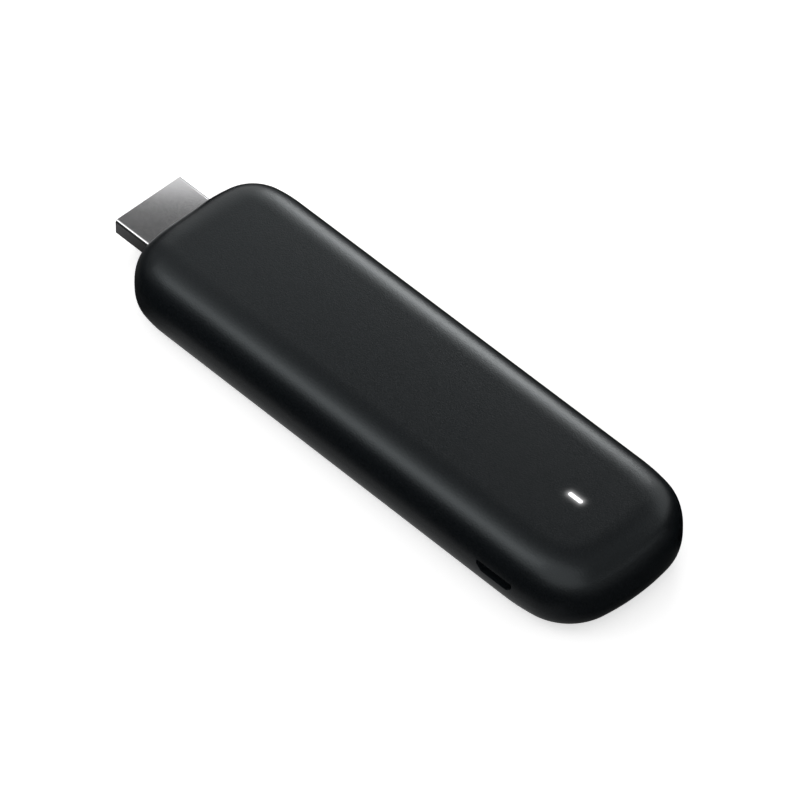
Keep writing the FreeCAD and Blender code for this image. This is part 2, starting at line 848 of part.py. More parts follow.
def make_plug_shell():
    body = new_body("plug_shell")
    outer = end_sketch(body, "ShellOutside", TIP)
    plug_profile(outer, "0")
    block = pad(body, outer, "plug_reach + plug_inner_length")
    DOC.recompute()
    rounded = fillet(body, block, straight_edges(block, "X"), "plug_corner")
    tip = number(TIP)
    rim = [
        f"Edge{index}"
        for index, edge in enumerate(rounded.Shape.Edges, 1)
        if abs(edge.BoundBox.XMax - tip) < TOUCH
    ]
    chamfer(body, rounded, rim, "plug_rim")
    inner = end_sketch(body, "ShellInside", f"{TIP} - cut_margin")
    plug_profile(inner, "(0 - plug_sheet)")
    pocket(body, inner, "plug_reach + plug_inner_length + 2 * cut_margin", with_normal=True)

    seam = level_sketch(body, "ShellSeam", f"{PLUG_BOTTOM} - plug_sheet")
    rectangle(
        seam,
        f"{TIP} - cut_margin",
        f"{PLUG_REAR} + cut_margin",
        "0 - plug_seam / 2",
        "plug_seam / 2",
    )
    pocket(body, seam, "3 * plug_sheet", with_normal=True)
    windows = level_sketch(body, "LatchWindows", f"{PLUG_BOTTOM} - plug_sheet")
    for side in ("1", "-1"):
        centre = (f"({TIP} + window_setback)", f"({side} * window_offset)")
        centred_rectangle(windows, centre, "window_length", "window_width")
    pocket(body, windows, "3 * plug_sheet", with_normal=True)

    legs = level_sketch(body, "ShellLegs", BOARD_TOP)
    for side in ("1", "-1"):
        rectangle(
            legs,
            f"{PLUG_REAR} - plug_sheet",
            f"{PLUG_REAR} + leg_length",
            f"{side} * (plug_width / 2 - plug_sheet)",
            f"{side} * plug_width / 2",
        )
    pad(body, legs, "leg_height - plug_corner")


def contact_places(count):
    """Places across the plug of one centred row; an odd and an even row differ by half a pitch."""
    return [spread(count, "contact_pitch", index) for index in range(int(number(count)))]


def make_plug_insulator():
    body = new_body("plug_insulator")
    start = f"({TIP} + insulator_recess)"
    outer = end_sketch(body, "InsulatorOutside", start)
    plug_profile(outer, "(0 - plug_sheet - insulator_clearance)")
    pad(body, outer, f"{INSULATOR_END} - {start}")
    mouth = end_sketch(body, "TongueSlot", start)
    centred_rectangle(mouth, ("0", "plug_height"), "slot_width", "slot_height")
    pocket(body, mouth, "slot_depth", with_normal=True)
    channels = end_sketch(body, "ContactChannels", start)
    for side, count in (("1", "upper_contacts"), ("-1", "lower_contacts")):
        base = f"(plug_height + {side} * slot_height / 2)"
        for place in contact_places(count):
            rectangle(
                channels,
                f"{place} - contact_width / 2",
                f"{place} + contact_width / 2",
                base,
                f"{base} + {side} * contact_channel",
            )
    pocket(body, channels, f"{INSULATOR_END} - {start}", with_normal=True)


def make_contact_row(label, side, count):
    """One row of sprung contact strips, from the plug's mouth to the board's surface."""
    body = new_body(label)
    first = spread(count, "contact_pitch", 0)
    sketch = front_sketch(body, "ContactStrip", first)
    start = f"({TIP} + insulator_recess + contact_setback)"
    seat = "(slot_height / 2 + (contact_channel - contact_thickness) / 2)"
    bow = f"({seat} - contact_bow)"
    landing = f"({BOARD_START} + contact_setback)"
    path = [
        (start, seat),
        (f"{start} + contact_ramp", bow),
        (f"{start} + contact_ramp + contact_crest", bow),
        (f"{start} + contact_spring", seat),
        (f"{INSULATOR_END} + contact_thickness", seat),
        (landing, "board_thickness / 2"),
        (f"{landing} + contact_tail", "board_thickness / 2"),
    ]
    near = [(place, f"plug_height + {side} * {rise}") for place, rise in path]
    back = [(place, f"plug_height + {side} * ({rise} + contact_thickness)") for place, rise in path]
    polygon(sketch, near + back[::-1])
    strip = pad(body, sketch, "contact_width", both_ways=True)
    row = body.newObject("PartDesign::LinearPattern", "ContactRow")
    row.Originals = [strip]
    row.Direction = (origin_part(body, "Y_Axis"), [""])
    row.setExpression("Occurrences", bound(count))
    row.setExpression("Length", bound(f"contact_pitch * ({count} - 1)"))
    body.Tip = row


# Board and what stands on it


def make_main_board():
    body = new_body("main_board")
    sketch = level_sketch(body, "BoardOutline", BOARD_BOTTOM)
    far_places, far_radii = far_end("board_inset")
    start_places = [(BOARD_START, BOARD_EDGE), (BOARD_START, f"0 - {BOARD_EDGE}")]
    outline(sketch, far_places + start_places, far_radii + [None, None, None])
    board = pad(body, sketch, "board_thickness")
    DOC.recompute()
    start = number(BOARD_START)
    corners = straight_edges(board, "Z", lambda middle: abs(middle.x - start) < TOUCH)
    chamfer(body, board, corners, "board_corner")

    notch = level_sketch(body, "SocketNotch", BOARD_TOP)
    half = "(socket_width / 2 + socket_sheet + socket_clearance)"
    rectangle(
        notch,
        f"{PORT_X} - {half}",
        f"{PORT_X} + {half}",
        f"0 - {HALF_WIDTH}",
        f"{SOCKET_REAR} + socket_clearance",
    )
    pocket(body, notch, "board_thickness")
    holes = level_sketch(body, "PinHoles", BOARD_TOP)
    for place in pin_places():
        circle(holes, place, "(pin_radius + pin_clearance)")
    pocket(body, holes, "board_thickness")


def make_block(label, base, blocks, height, downward=False):
    """Flat-topped components of one kind: each block is a centre, a length and a width."""
    body = new_body(label)
    sketch = level_sketch(body, "Footprint", base)
    for centre, length, width in blocks:
        centred_rectangle(sketch, centre, length, width)
    feature = pad(body, sketch, height, downward=downward)
    return body, feature


def make_chip(label, base, chips, height, downward=False):
    """Moulded chips, each with one cut corner that marks its first terminal."""
    body = new_body(label)
    sketch = level_sketch(body, "ChipOutline", base)
    for (mid_x, mid_y), length, width in chips:
        low_x = f"({mid_x} - {length} / 2)"
        high_x = f"({mid_x} + {length} / 2)"
        low_y = f"({mid_y} - {width} / 2)"
        high_y = f"({mid_y} + {width} / 2)"
        polygon(sketch, [
            (low_x, low_y),
            (high_x, low_y),
            (high_x, high_y),
            (f"{low_x} + chip_corner", high_y),
            (low_x, f"{high_y} - chip_corner"),
        ])
    pad(body, sketch, height, downward=downward)


def make_row(label, base, start, pitch, count, across, length, width, height, downward=False):
    """A row of small equal components along X, one row for each place across."""
    blocks = []
    for index in range(int(number(count))):
        for place in across:
            blocks.append(((f"({start} + {index} * {pitch})", place), length, width))
    return make_block(label, base, blocks, height, downward)


def make_board_parts():
    """Chips and small components on both faces of the board."""
    side = "processor_side"
    make_chip("processor_chip", BOARD_TOP, [((PROCESSOR_X, "0"), side, side)], "processor_height")
    memory_x = f"({SHIELD_START} + memory_setback + memory_length / 2)"
    memory = [
        ((memory_x, f"({sign} * memory_offset)"), "memory_length", "memory_width")
        for sign in ("1", "-1")
    ]
    make_chip("memory_chips", BOARD_TOP, memory, "memory_height")
    storage = [((CAN_X, "0"), "storage_length", "storage_width")]
    make_chip("storage_chip", BOARD_BOTTOM, storage, "storage_height", downward=True)
    crystal_x = f"({SHIELD_START} + crystal_setback + crystal_length / 2)"
    crystal = [((crystal_x, "0"), "crystal_length", "crystal_width")]
    make_block("clock_crystal", BOARD_TOP, crystal, "crystal_height")

    surge_x = f"({BOARD_START} + surge_setback)"
    surge = [
        ((surge_x, spread("surge_count", "surge_pitch", index)), "surge_length", "surge_width")
        for index in range(int(number("surge_count")))
    ]
    make_block("surge_protectors", BOARD_TOP, surge, "surge_height")

    power_x = f"({SHIELD_END} + power_setback + power_side / 2)"
    power_y = f"(0 - {BOARD_EDGE} + power_edge + power_side / 2)"
    power = [((power_x, power_y), "power_side", "power_side")]
    make_chip("power_chip", BOARD_TOP, power, "power_height")
    make_row(
        "power_coils",
        BOARD_TOP,
        COIL_X,
        "coil_pitch",
        "coil_count",
        ["(0 - coil_offset)"],
        "coil_side",
        "coil_side",
        "coil_height",
    )

    cap_start = f"({PROCESSOR_X} - cap_pitch * (cap_count - 1) / 2)"
    make_row(
        "top_capacitors",
        BOARD_TOP,
        cap_start,
        "cap_pitch",
        "cap_count",
        ["cap_offset", "(0 - cap_offset)"],
        "cap_length",
        "cap_width",
        "cap_height",
    )
    lower_start = f"({CAN_X} - cap_pitch * (cap_count - 1) / 2)"
    make_row(
        "bottom_capacitors",
        BOARD_BOTTOM,
        lower_start,
        "cap_pitch",
        "cap_count",
        ["lower_cap_offset", "(0 - lower_cap_offset)"],
        "cap_length",
        "cap_width",
        "cap_height",
        downward=True,
    )


def make_wireless_module():
    """A small board with its own metal can, soldered to the main board."""
    centre = (f"({SHIELD_END} + wifi_setback + wifi_side / 2)", "wifi_offset")
    make_block("wifi_board", BOARD_TOP, [(centre, "wifi_side", "wifi_side")], "wifi_board")
    base = f"({BOARD_TOP} + wifi_board)"
    size = ("wifi_can_side", "wifi_can_side", "wifi_can_height", "shield_corner")
    make_tray("wifi_can", base, centre, *size)


def make_antenna(label, side):
    """A stamped antenna: a foot on the board beside the far post, a riser and a slotted plate."""
    body = new_body(label)
    start = f"({BODY_END} - antenna_setback)"
    sketch = end_sketch(body, "AntennaStrip", start)
    root = "(post_side / 2 + antenna_gap + antenna_foot)"
    tip = f"({BOARD_EDGE} - antenna_edge)"
    top = f"({BOARD_TOP} + antenna_height)"
    polygon(sketch, [
        (f"{side} * ({root} - antenna_foot)", BOARD_TOP),
        (f"{side} * ({root} + antenna_sheet)", BOARD_TOP),
        (f"{side} * ({root} + antenna_sheet)", f"{top} - antenna_sheet"),
        (f"{side} * {tip}", f"{top} - antenna_sheet"),
        (f"{side} * {tip}", top),
        (f"{side} * {root}", top),
        (f"{side} * {root}", f"{BOARD_TOP} + antenna_sheet"),
        (f"{side} * ({root} - antenna_foot)", f"{BOARD_TOP} + antenna_sheet"),
    ])
    pad(body, sketch, "antenna_width")
    cut = level_sketch(body, "AntennaSlots", top)
    for index in range(int(number("antenna_slot_count"))):
        across = spread("antenna_slot_count", "antenna_slot_pitch", index)
        middle = f"({start} + antenna_width / 2 + {across})"
        rectangle(
            cut,
            f"{middle} - antenna_slot / 2",
            f"{middle} + antenna_slot / 2",
            f"{side} * ({root} + antenna_foot)",
            f"{side} * ({tip} - antenna_foot / 2)",
        )
    pocket(body, cut, "2 * antenna_sheet")


# Shields and heat path


def make_tray(label, base, centre, length, width, height, corner, downward=False):
    """A folded metal box with bevelled corners, open on the side that faces the board."""
    body = new_body(label)
    outside = level_sketch(body, "TrayOutside", base)
    centred_rectangle(outside, centre, length, width)
    pad(body, outside, height, downward=downward)
    inside = level_sketch(body, "TrayInside", base)
    inner_length = f"({length} - 2 * shield_sheet)"
    inner_width = f"({width} - 2 * shield_sheet)"
    centred_rectangle(inside, centre, inner_length, inner_width)
    box = pocket(body, inside, f"{height} - shield_sheet", with_normal=not downward)
    DOC.recompute()
    middle_x = number(centre[0])
    reach = number(f"({length} - shield_sheet) / 2")

    def is_inner(middle):
        return abs(middle.x - middle_x) < reach

    def is_outer(middle):
        return abs(middle.x - middle_x) > reach

    inner_corner = f"{corner} - shield_sheet * (2 - sqrt(2))"
    eased = chamfer(body, box, straight_edges(box, "Z", is_inner), inner_corner)
    chamfer(body, eased, straight_edges(eased, "Z", is_outer), corner)
    return body


def make_shield_frame():
    """A soldered fence round processor and memory, with an inward flange on top."""
    centre = (f"({SHIELD_START} + shield_length / 2)", "0")
    height = "(shield_height - shield_sheet)"
    size = ("shield_length", "shield_width", height, "shield_corner")
    body = make_tray("shield_frame", BOARD_TOP, centre, *size)
    window = level_sketch(body, "FrameWindow", LID_TOP)
    open_length = "(shield_length - 2 * shield_flange)"
    open_width = "(shield_width - 2 * shield_flange)"
    centred_rectangle(window, centre, open_length, open_width)
    pocket(body, window, "3 * shield_sheet")


def make_shield_lid():
    """A tray that snaps over the frame, with small vents beside the processor."""
    centre = (f"({SHIELD_START} + shield_length / 2)", "0")
    base = f"({BOARD_TOP} + lid_lift)"
    growth = "(lid_clearance + shield_sheet)"
    length = f"(shield_length + 2 * {growth})"
    width = f"(shield_width + 2 * {growth})"
    corner = f"(shield_corner + {growth} * (2 - sqrt(2)))"
    body = make_tray("shield_lid", base, centre, length, width, "(shield_height - lid_lift)", corner)
    vents = level_sketch(body, "LidVents", LID_TOP)
    for index in range(int(number("vent_count"))):
        for side in ("1", "-1"):
            vent = (f"({SHIELD_END} - vent_pitch * ({index} + 1))", f"({side} * vent_offset)")
            centred_rectangle(vents, vent, "vent_length", "vent_width")
    pocket(body, vents, "2 * shield_sheet")


def make_shield_can():
    """A one-piece can over the storage chip under the board."""
    size = ("can_length", "can_width", "can_height", "shield_corner")
    make_tray("lower_shield_can", BOARD_BOTTOM, (CAN_X, "0"), *size, downward=True)


def make_thermal_pads():
    """Soft pads that fill the gaps of the heat path."""
    gap = f"{LID_TOP} - shield_sheet - {PROCESSOR_TOP}"
    side = "(processor_side - 2 * chip_pad_border)"
    processor = [((PROCESSOR_X, "0"), side, side)]
    make_block("processor_thermal_pad", PROCESSOR_TOP, processor, gap)
    lid_centre = (f"({SHIELD_START} + shield_length / 2)", "0")
    top = [(lid_centre, "top_pad_length", "top_pad_width")]
    make_block("upper_thermal_pad", LID_TOP, top, "top_pad_thickness")
    storage_face = f"({BOARD_BOTTOM} - storage_height)"
    lower_gap = f"{storage_face} - {CAN_BOTTOM} - shield_sheet"
    length = "(storage_length - 2 * chip_pad_border)"
    width = "(storage_width - 2 * chip_pad_border)"
    storage = [((CAN_X, "0"), length, width)]
    make_block("storage_thermal_pad", storage_face, storage, lower_gap, downward=True)
    bottom = [((CAN_X, "0"), "bottom_pad_length", "bottom_pad_width")]
    make_block("lower_thermal_pad", CAN_BOTTOM, bottom, "bottom_pad_thickness", downward=True)


def make_spreader(label, base, thickness):
    """An aluminium plate with cut corners and two openings for the posts."""
    centre = (f"({SPREADER_START} + spreader_length / 2)", "0")
    plate = [(centre, "spreader_length", "spreader_width")]
    body, sheet = make_block(label, base, plate, thickness)
    DOC.recompute()
    chamfer(body, sheet, straight_edges(sheet, "Z"), "spreader_corner")
    openings = level_sketch(body, "PostOpenings", f"{base} + {thickness}")
    for place in post_places()[:2]:
        side = "(post_side + 2 * spreader_clearance)"
        centred_rectangle(openings, place, side, side)
    pocket(body, openings, thickness)


# Power socket


def make_socket_shell():
    """Micro-USB socket shell: a folded tube sunk into the board, with four solder wings."""
    body = new_body("usb_socket_shell")
    outer = front_sketch(body, "SocketOutside", SOCKET_FACE)
    size = ("socket_width", "socket_rise", "socket_side", "socket_floor_width")
    port_profile(outer, *size, growth="socket_sheet")
    block = pad(body, outer, "socket_depth", downward=True)
    DOC.recompute()
    fillet(body, block, straight_edges(block, "Y"), "socket_corner")
    inner = front_sketch(body, "SocketInside", SOCKET_FACE)
    port_profile(inner, *size)
    pocket(body, inner, "socket_depth")
    wings = level_sketch(body, "SocketWings", BOARD_TOP)
    edge = "(socket_width / 2 + socket_sheet / 2)"
    for side in ("1", "-1"):
        for index in range(int(number("wing_count"))):
            middle = f"({SOCKET_FACE} + wing_setback + {index} * wing_pitch)"
            rectangle(
                wings,
                f"{PORT_X} + {side} * {edge}",
                f"{PORT_X} + {side} * ({edge} + socket_wing)",
                f"{middle} - wing_width / 2",
                f"{middle} + wing_width / 2",
            )
    pad(body, wings, "socket_sheet")


def pad_places():
    """Places along X of the socket's contacts."""
    count = int(number("pad_count"))
    return [f"({PORT_X} + {spread('pad_count', 'pad_pitch', index)})" for index in range(count)]


def make_socket_insulator():
    """The socket's moulded back and the tongue that carries its contacts."""
    body = new_body("usb_socket_insulator")
    back = front_sketch(body, "SocketBack", SOCKET_REAR)
    port_profile(back, "socket_width", "socket_rise", "socket_side", "socket_floor_width")
    pad(body, back, "socket_back")
    tongue = front_sketch(body, "SocketTongue", f"({SOCKET_REAR} - socket_back)")
    base = f"({BOARD_TOP} + pad_thickness)"
    rectangle(
        tongue,
        f"{PORT_X} - tongue_width / 2",
        f"{PORT_X} + tongue_width / 2",
        base,
        f"{base} + tongue_thickness",
    )
    pad(body, tongue, "socket_depth - socket_back - tongue_recess")
    channels = front_sketch(body, "SocketChannels", SOCKET_REAR)
    for place in pad_places():
        rectangle(
            channels,
            f"{place} - pad_width / 2",
            f"{place} + pad_width / 2",
            BOARD_TOP,
            base,
        )
    pocket(body, channels, "socket_back", with_normal=True)


def make_socket_contacts():
    """Five strips along the underside of the tongue, with tails on the board."""
    body = new_body("usb_socket_contacts")
    sketch = level_sketch(body, "SocketPads", BOARD_TOP)
    for place in pad_places():
        rectangle(
            sketch,
            f"{place} - pad_width / 2",
            f"{place} + pad_width / 2",
            f"{SOCKET_FACE} + tongue_recess + pad_width",
            f"{SOCKET_REAR} + pad_tail",
        )
    pad(body, sketch, "pad_thickness")


# Lamp


def make_light_pipe():
    """A clear rod with a flange: its tip fills the slot in the roof, its foot is over the lamp."""
    body = new_body("light_pipe")
    centre = (LAMP_X, "0")
    base = f"({CEILING} - pipe_flange)"
    flange = level_sketch(body, "PipeFlange", base)
    centred_rectangle(flange, centre, "pipe_flange_length", "pipe_flange_width")
    pad(body, flange, "pipe_flange")
    tip = level_sketch(body, "PipeTip", CEILING)
    slot(tip, centre, "(lamp_length - 2 * lamp_clearance)", "(lamp_width - 2 * lamp_clearance)")
    pad(body, tip, "wall - lamp_clearance")
    stem = level_sketch(body, "PipeStem", base)
    centred_rectangle(stem, centre, "lamp_length", "pipe_stem_width")
    foot = f"({BOARD_TOP} + led_height + pipe_gap)"
    pad(body, stem, f"{base} - {foot}", downward=True)


def make_status_lamp():
    """The lamp itself, on the board under the light pipe."""
    make_block("status_lamp", BOARD_TOP, [((LAMP_X, "0"), "led_length", "led_width")], "led_height")


make_top_cover()
make_bottom_cover()
make_plug_shell()
make_plug_insulator()
make_contact_row("plug_upper_contacts", "1", "upper_contacts")
make_contact_row("plug_lower_contacts", "-1", "lower_contacts")
make_main_board()
make_board_parts()
make_wireless_module()
make_antenna("near_antenna", "-1")
make_antenna("far_antenna", "1")
make_shield_frame()
make_shield_lid()
make_shield_can()
make_thermal_pads()
make_spreader("upper_heat_spreader", SPREADER_BASE, "spreader_thickness")
make_spreader("lower_heat_spreader", LOWER_SPREADER_BASE, "lower_spreader_thickness")
make_socket_shell()
make_socket_insulator()
make_socket_contacts()
make_light_pipe()
make_status_lamp()
DOC.recompute()

for item in DOC.Objects:
    if "Invalid" in item.State or "Error" in item.State:
        raise RuntimeError(f"{item.Name} ({item.Label}) failed: {item.State}")
for piece in PIECES:
    if piece.Shape.isNull() or not piece.Shape.isValid():
        raise RuntimeError(f"{piece.Label} has no valid shape")

os.makedirs("parts", exist_ok=True)
for piece in PIECES:
    piece.Shape.exportStep(os.path.join("parts", f"{piece.Label}.step"))
    solids = len(piece.Shape.Solids)
    print(f"{piece.Label}: {solids} solids, {piece.Shape.Volume:.2f} mm3")
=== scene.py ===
"""Streaming media stick: the finished looks, the light and the camera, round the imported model."""
import math

import bmesh
import bpy
import numpy as np
from mathutils import Matrix, Vector
from mathutils.bvhtree import BVHTree
from mathutils.interpolate import poly_3d_calc


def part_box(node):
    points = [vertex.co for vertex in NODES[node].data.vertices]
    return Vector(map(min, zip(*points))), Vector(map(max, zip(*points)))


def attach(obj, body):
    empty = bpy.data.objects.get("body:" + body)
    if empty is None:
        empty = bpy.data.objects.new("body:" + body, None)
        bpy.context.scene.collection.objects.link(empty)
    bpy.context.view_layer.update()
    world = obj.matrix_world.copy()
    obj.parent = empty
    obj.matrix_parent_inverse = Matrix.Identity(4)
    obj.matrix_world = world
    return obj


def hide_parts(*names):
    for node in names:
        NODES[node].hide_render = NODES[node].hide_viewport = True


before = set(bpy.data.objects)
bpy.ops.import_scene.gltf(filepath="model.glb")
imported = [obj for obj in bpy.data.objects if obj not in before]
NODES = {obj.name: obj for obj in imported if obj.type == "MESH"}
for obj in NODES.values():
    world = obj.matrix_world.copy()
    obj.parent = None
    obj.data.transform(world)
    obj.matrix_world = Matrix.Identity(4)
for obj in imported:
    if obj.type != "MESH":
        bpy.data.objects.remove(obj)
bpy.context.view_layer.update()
MM = 0.001

# Sizes read from the frame, in metres
TOP_LOW, TOP_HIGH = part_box("top_cover")
PLUG_LOW, PLUG_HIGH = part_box("plug_shell")
PIPE_LOW, PIPE_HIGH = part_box("light_pipe")
BODY_START = TOP_LOW.x
BODY_END = TOP_HIGH.x
HALF_WIDTH = TOP_HIGH.y
BODY_HEIGHT = TOP_HIGH.z
SEAM = TOP_LOW.z

# The housing's rounded corners: each is a shallow arc, a tight bend and a second shallow arc
PLUG_END = {"reach": 11.25 * MM, "span": 11.7 * MM, "bend": 8.0 * MM, "turn": math.radians(12)}
LAMP_END = {"reach": 14.55 * MM, "span": HALF_WIDTH, "bend": 10.0 * MM, "turn": math.radians(10)}
ARC_STEPS = (6, 20, 6)

# The housing's section: it is widest at one level, and falls away above and below it
WIDEST = 5.3 * MM
UPPER_ROUNDING = BODY_HEIGHT - WIDEST
UPPER_POWER = 2.68
LOWER_ROUNDING = WIDEST
LOWER_POWER = 2.58
SECTION_STEPS = 36
SEAM_GAP = 0.012 * MM
RING_GAP = 0.05 * MM

# The covers' wall, and the rounds whose inner side their room follows with a bevel
WALL = 1.5 * MM
TOP_ROUND = 5.9 * MM
BOTTOM_ROUND = 4.3 * MM
BEVEL_SHARE = 2 - math.sqrt(2)

# A face takes the clean skin's normals when it is this near to it and their directions agree this well
SKIN_REACH = 0.02 * MM
FACE_AGREES = 0.9
CORNER_AGREES = 0.8

# The power port, with corners from the floor's start round to the knee on the same side
PORT_X = 38.3 * MM
PORT_HEIGHT = 5.6 * MM
PORT_WIDTH = 7.45 * MM
PORT_RISE = 1.9 * MM
PORT_SIDE = 0.9 * MM
PORT_FLOOR = 5.45 * MM
PORT_CORNERS = [0.55 * MM, 0.55 * MM, 0.55 * MM, 0.3 * MM, 0.3 * MM, 0.55 * MM]
PORT_DEPTH = 1.05 * WALL

# The plug's shell and the opening round it
PLUG_WIDTH = 13.9 * MM
PLUG_THICKNESS = 4.45 * MM
PLUG_SIDE = 2.8 * MM
PLUG_FLOOR = 10.4 * MM
PLUG_CORNER = 0.55 * MM
PLUG_RIM = 0.07 * MM
PLUG_SHEET = 0.3 * MM
PLUG_INNER = 6.5 * MM
PLUG_GAP = 0.12 * MM
OPENING_CORNER = 0.5 * MM
SHARP_ANGLE = math.radians(30)

# Steps in the plug's rim and corners, in the openings' corners and in the lamp slot's ends
RIM_STEPS = 4
CORNER_STEPS = 10
OPENING_STEPS = 6
SLOT_STEPS = 10

# The plug's seam, latch windows and legs, in millimetres
SEAM_WIDTH = 0.1
WINDOW_PLACE = 2.6
WINDOW_WIDTH = 1.2
WINDOW_START = 3.8
WINDOW_END = 5.4
LEG_LOW = 5.55
LEG_HIGH = 6.7
LEG_START = 0.3
CUT_BELOW = 0.3
CUT_ABOVE = 0.6
CUT_PAST = 1.0

# The lamp's slot, its glow, and the glow painted round it on the housing
LAMP_X = (PIPE_LOW.x + PIPE_HIGH.x) / 2
LAMP_LENGTH = 2.85 * MM
LAMP_WIDTH = 0.76 * MM
CORE_WIDTH = 0.62 * MM
CORE_BLUR = 0.05 * MM
CORE_GLOW = 1.15
RIM_GLOW = 0.25
# Painted glow on the housing round the slot: how far it reaches and how bright it is
PAINTED_GLOW_REACH = 0.27 * MM
PAINTED_GLOW_LIGHT = 0.42

# The grain of surfaces: the noise's detail, how much gloss varies either way, and the bump's strength
NOISE_DETAIL = 2.0
GLOSS_SPREAD = 0.05
BUMP_STRENGTH = 0.4

# The camera that fits the photograph
AZIMUTH = math.radians(46.0701)
ELEVATION = math.radians(47.12505)
AIM = Vector((3.939, 0, 6.396)) * MM
AIM_RIGHT = 1.23355 * MM
AIM_UP = 0.0848 * MM
DISTANCE = 1320.87 * MM
FOCAL_PIXELS = 8661.5
IMAGE_PIXELS = 800
SENSOR = 36.0

# Light from all round, and the floor
WORLD_LIGHT = 0.62
FLOOR_LIFT = 0.58
FLOOR_HALF = 3.0
FLOOR_DROP = 0.02 * MM

# Soft boxes: name, place and target in millimetres, width and height in metres, brightness
SOFT_BOXES = [
    ("far_strip", (-90, 150, 87), (-90, 10, 10), 0.105, 0.056, 6.1),
    ("near_box", (-58, -75, 104), (-58, -14, 10), 0.15, 0.05, 1.3),
]

# The set's ends and sides, and the levels of its cards, in millimetres
SET_START = -300
SET_END = 400
SET_NEAR = -300
SET_FAR = 300
ROOF_LEVEL = 80
FOOT_LEVEL = 0.1
BEYOND_LEVEL = 0.2

# Brightness of the cards that only reflections show
ROOF_TONE = 0.4
FOOT_TONE = 0.34
LAMP_END_TONE = 0.26
PLUG_END_TONE = 0.10
PLUG_TOP_TONE = 0.3
END_CARD_TONE = 0.2
BEYOND_TONE = 0.2
BLACK_TONE = 0.01


def corner_arcs(end, way, side):
    """The three arcs of one corner, as (centre x, centre y, radius, first angle, last angle)."""
    reach, span, bend, turn = end["reach"], end["span"], end["bend"], end["turn"]
    face = BODY_END if way > 0 else BODY_START
    foot = face - way * reach
    knee = bend * (math.cos(turn) - math.sin(turn))
    along, across = reach - knee, span - knee
    sine, rest = math.sin(turn), 1 - math.cos(turn)
    share = sine ** 2 - rest ** 2
    shoulder = (along * sine - across * rest) / share
    brow = (across * sine - along * rest) / share
    middle_x = foot + way * (shoulder - bend) * sine
    middle_y = HALF_WIDTH - shoulder + (shoulder - bend) * math.cos(turn)
    quarter = math.pi / 2
    return [
        (foot, side * (HALF_WIDTH - shoulder), shoulder, quarter, quarter - turn),
        (middle_x, side * middle_y, bend, quarter - turn, turn),
        (face - way * brow, side * (HALF_WIDTH - span), brow, turn, 0.0),
    ]


def corner_points(end, way, side):
    """Samples of one corner, each (centre x, centre y, radius, outward x, outward y)."""
    samples = []
    for (x, y, radius, first, last), steps in zip(corner_arcs(end, way, side), ARC_STEPS):
        start = 0 if not samples else 1
        for step in range(start, steps + 1):
            angle = first + (last - first) * step / steps
            samples.append((x, y, radius, way * math.cos(angle), side * math.sin(angle)))
    return samples


def outline_samples():
    """The housing's outline, counter-clockwise from the near side."""
    near_lamp = corner_points(LAMP_END, 1, -1)
    far_lamp = corner_points(LAMP_END, 1, 1)[::-1]
    far_plug = corner_points(PLUG_END, -1, 1)
    near_plug = corner_points(PLUG_END, -1, -1)[::-1]
    return np.array(near_lamp + far_lamp[1:] + far_plug + near_plug)


OUTLINE = outline_samples()


def outline_ring(inset):
    """The outline's points, moved inwards by inset."""
    centre, radius, out = OUTLINE[:, :2], OUTLINE[:, 2:3], OUTLINE[:, 3:5]
    return centre + (radius - inset) * out


def section_curve(rounding, power, sign):
    """Points from the widest level to the flat, as (inset, height), close together at both ends."""
    points = []
    for step in range(SECTION_STEPS):
        tilt = math.pi / 4 * (1 - math.cos(math.pi * step / SECTION_STEPS))
        ratio = math.tan(tilt) ** (1 / (power - 1))
        out = (1 + ratio ** power) ** (-1 / power)
        points.append((rounding * (1 - out), WIDEST + sign * rounding * ratio * out))
    return points + [(rounding, WIDEST + sign * rounding)]


def rings_mesh(name, rings):
    """A closed mesh of stacked rings of the outline: rings is a list of (inset, height)."""
    count = len(OUTLINE)
    points = []
    for inset, height in rings:
        points += [(x, y, height) for x, y in outline_ring(inset)]
    faces = []
    for level in range(len(rings) - 1):
        low, high = level * count, (level + 1) * count
        for index in range(count):
            after = (index + 1) % count
            faces.append((low + index, low + after, high + after, high + index))
    faces.append(tuple(range(count))[::-1])
    faces.append(tuple(range((len(rings) - 1) * count, len(rings) * count)))
    mesh = bpy.data.meshes.new(name)
    mesh.from_pydata(points, [], faces)
    mesh.validate()
    return mesh


def add_object(name, mesh):
    """Put a mesh into the scene as an object of its own."""
    piece = bpy.data.objects.new(name, mesh)
    bpy.context.scene.collection.objects.link(piece)
    return piece


def prism(name, outline, start, end, axis):
    """A closed prism: outline holds points across the axis, "X", "Y" or "Z"."""
    place = {
        "X": lambda a, b, c: (c, a, b),
        "Y": lambda a, b, c: (a, c, b),
        "Z": lambda a, b, c: (a, b, c),
    }[axis]
    count = len(outline)
    points = [place(a, b, start) for a, b in outline] + [place(a, b, end) for a, b in outline]
    faces = [tuple(range(count)), tuple(range(2 * count - 1, count - 1, -1))]
    for index in range(count):
        after = (index + 1) % count
        faces.append((index, index + count, after + count, after))
    mesh = bpy.data.meshes.new(name)
    mesh.from_pydata(points, [], faces)
    fix_normals(mesh)
    return add_object(name, mesh)


def fix_normals(mesh):
    """Turn all faces of a closed mesh outwards."""
    shape = bmesh.new()
    shape.from_mesh(mesh)
    bmesh.ops.recalc_face_normals(shape, faces=shape.faces)
    shape.to_mesh(mesh)
    shape.free()


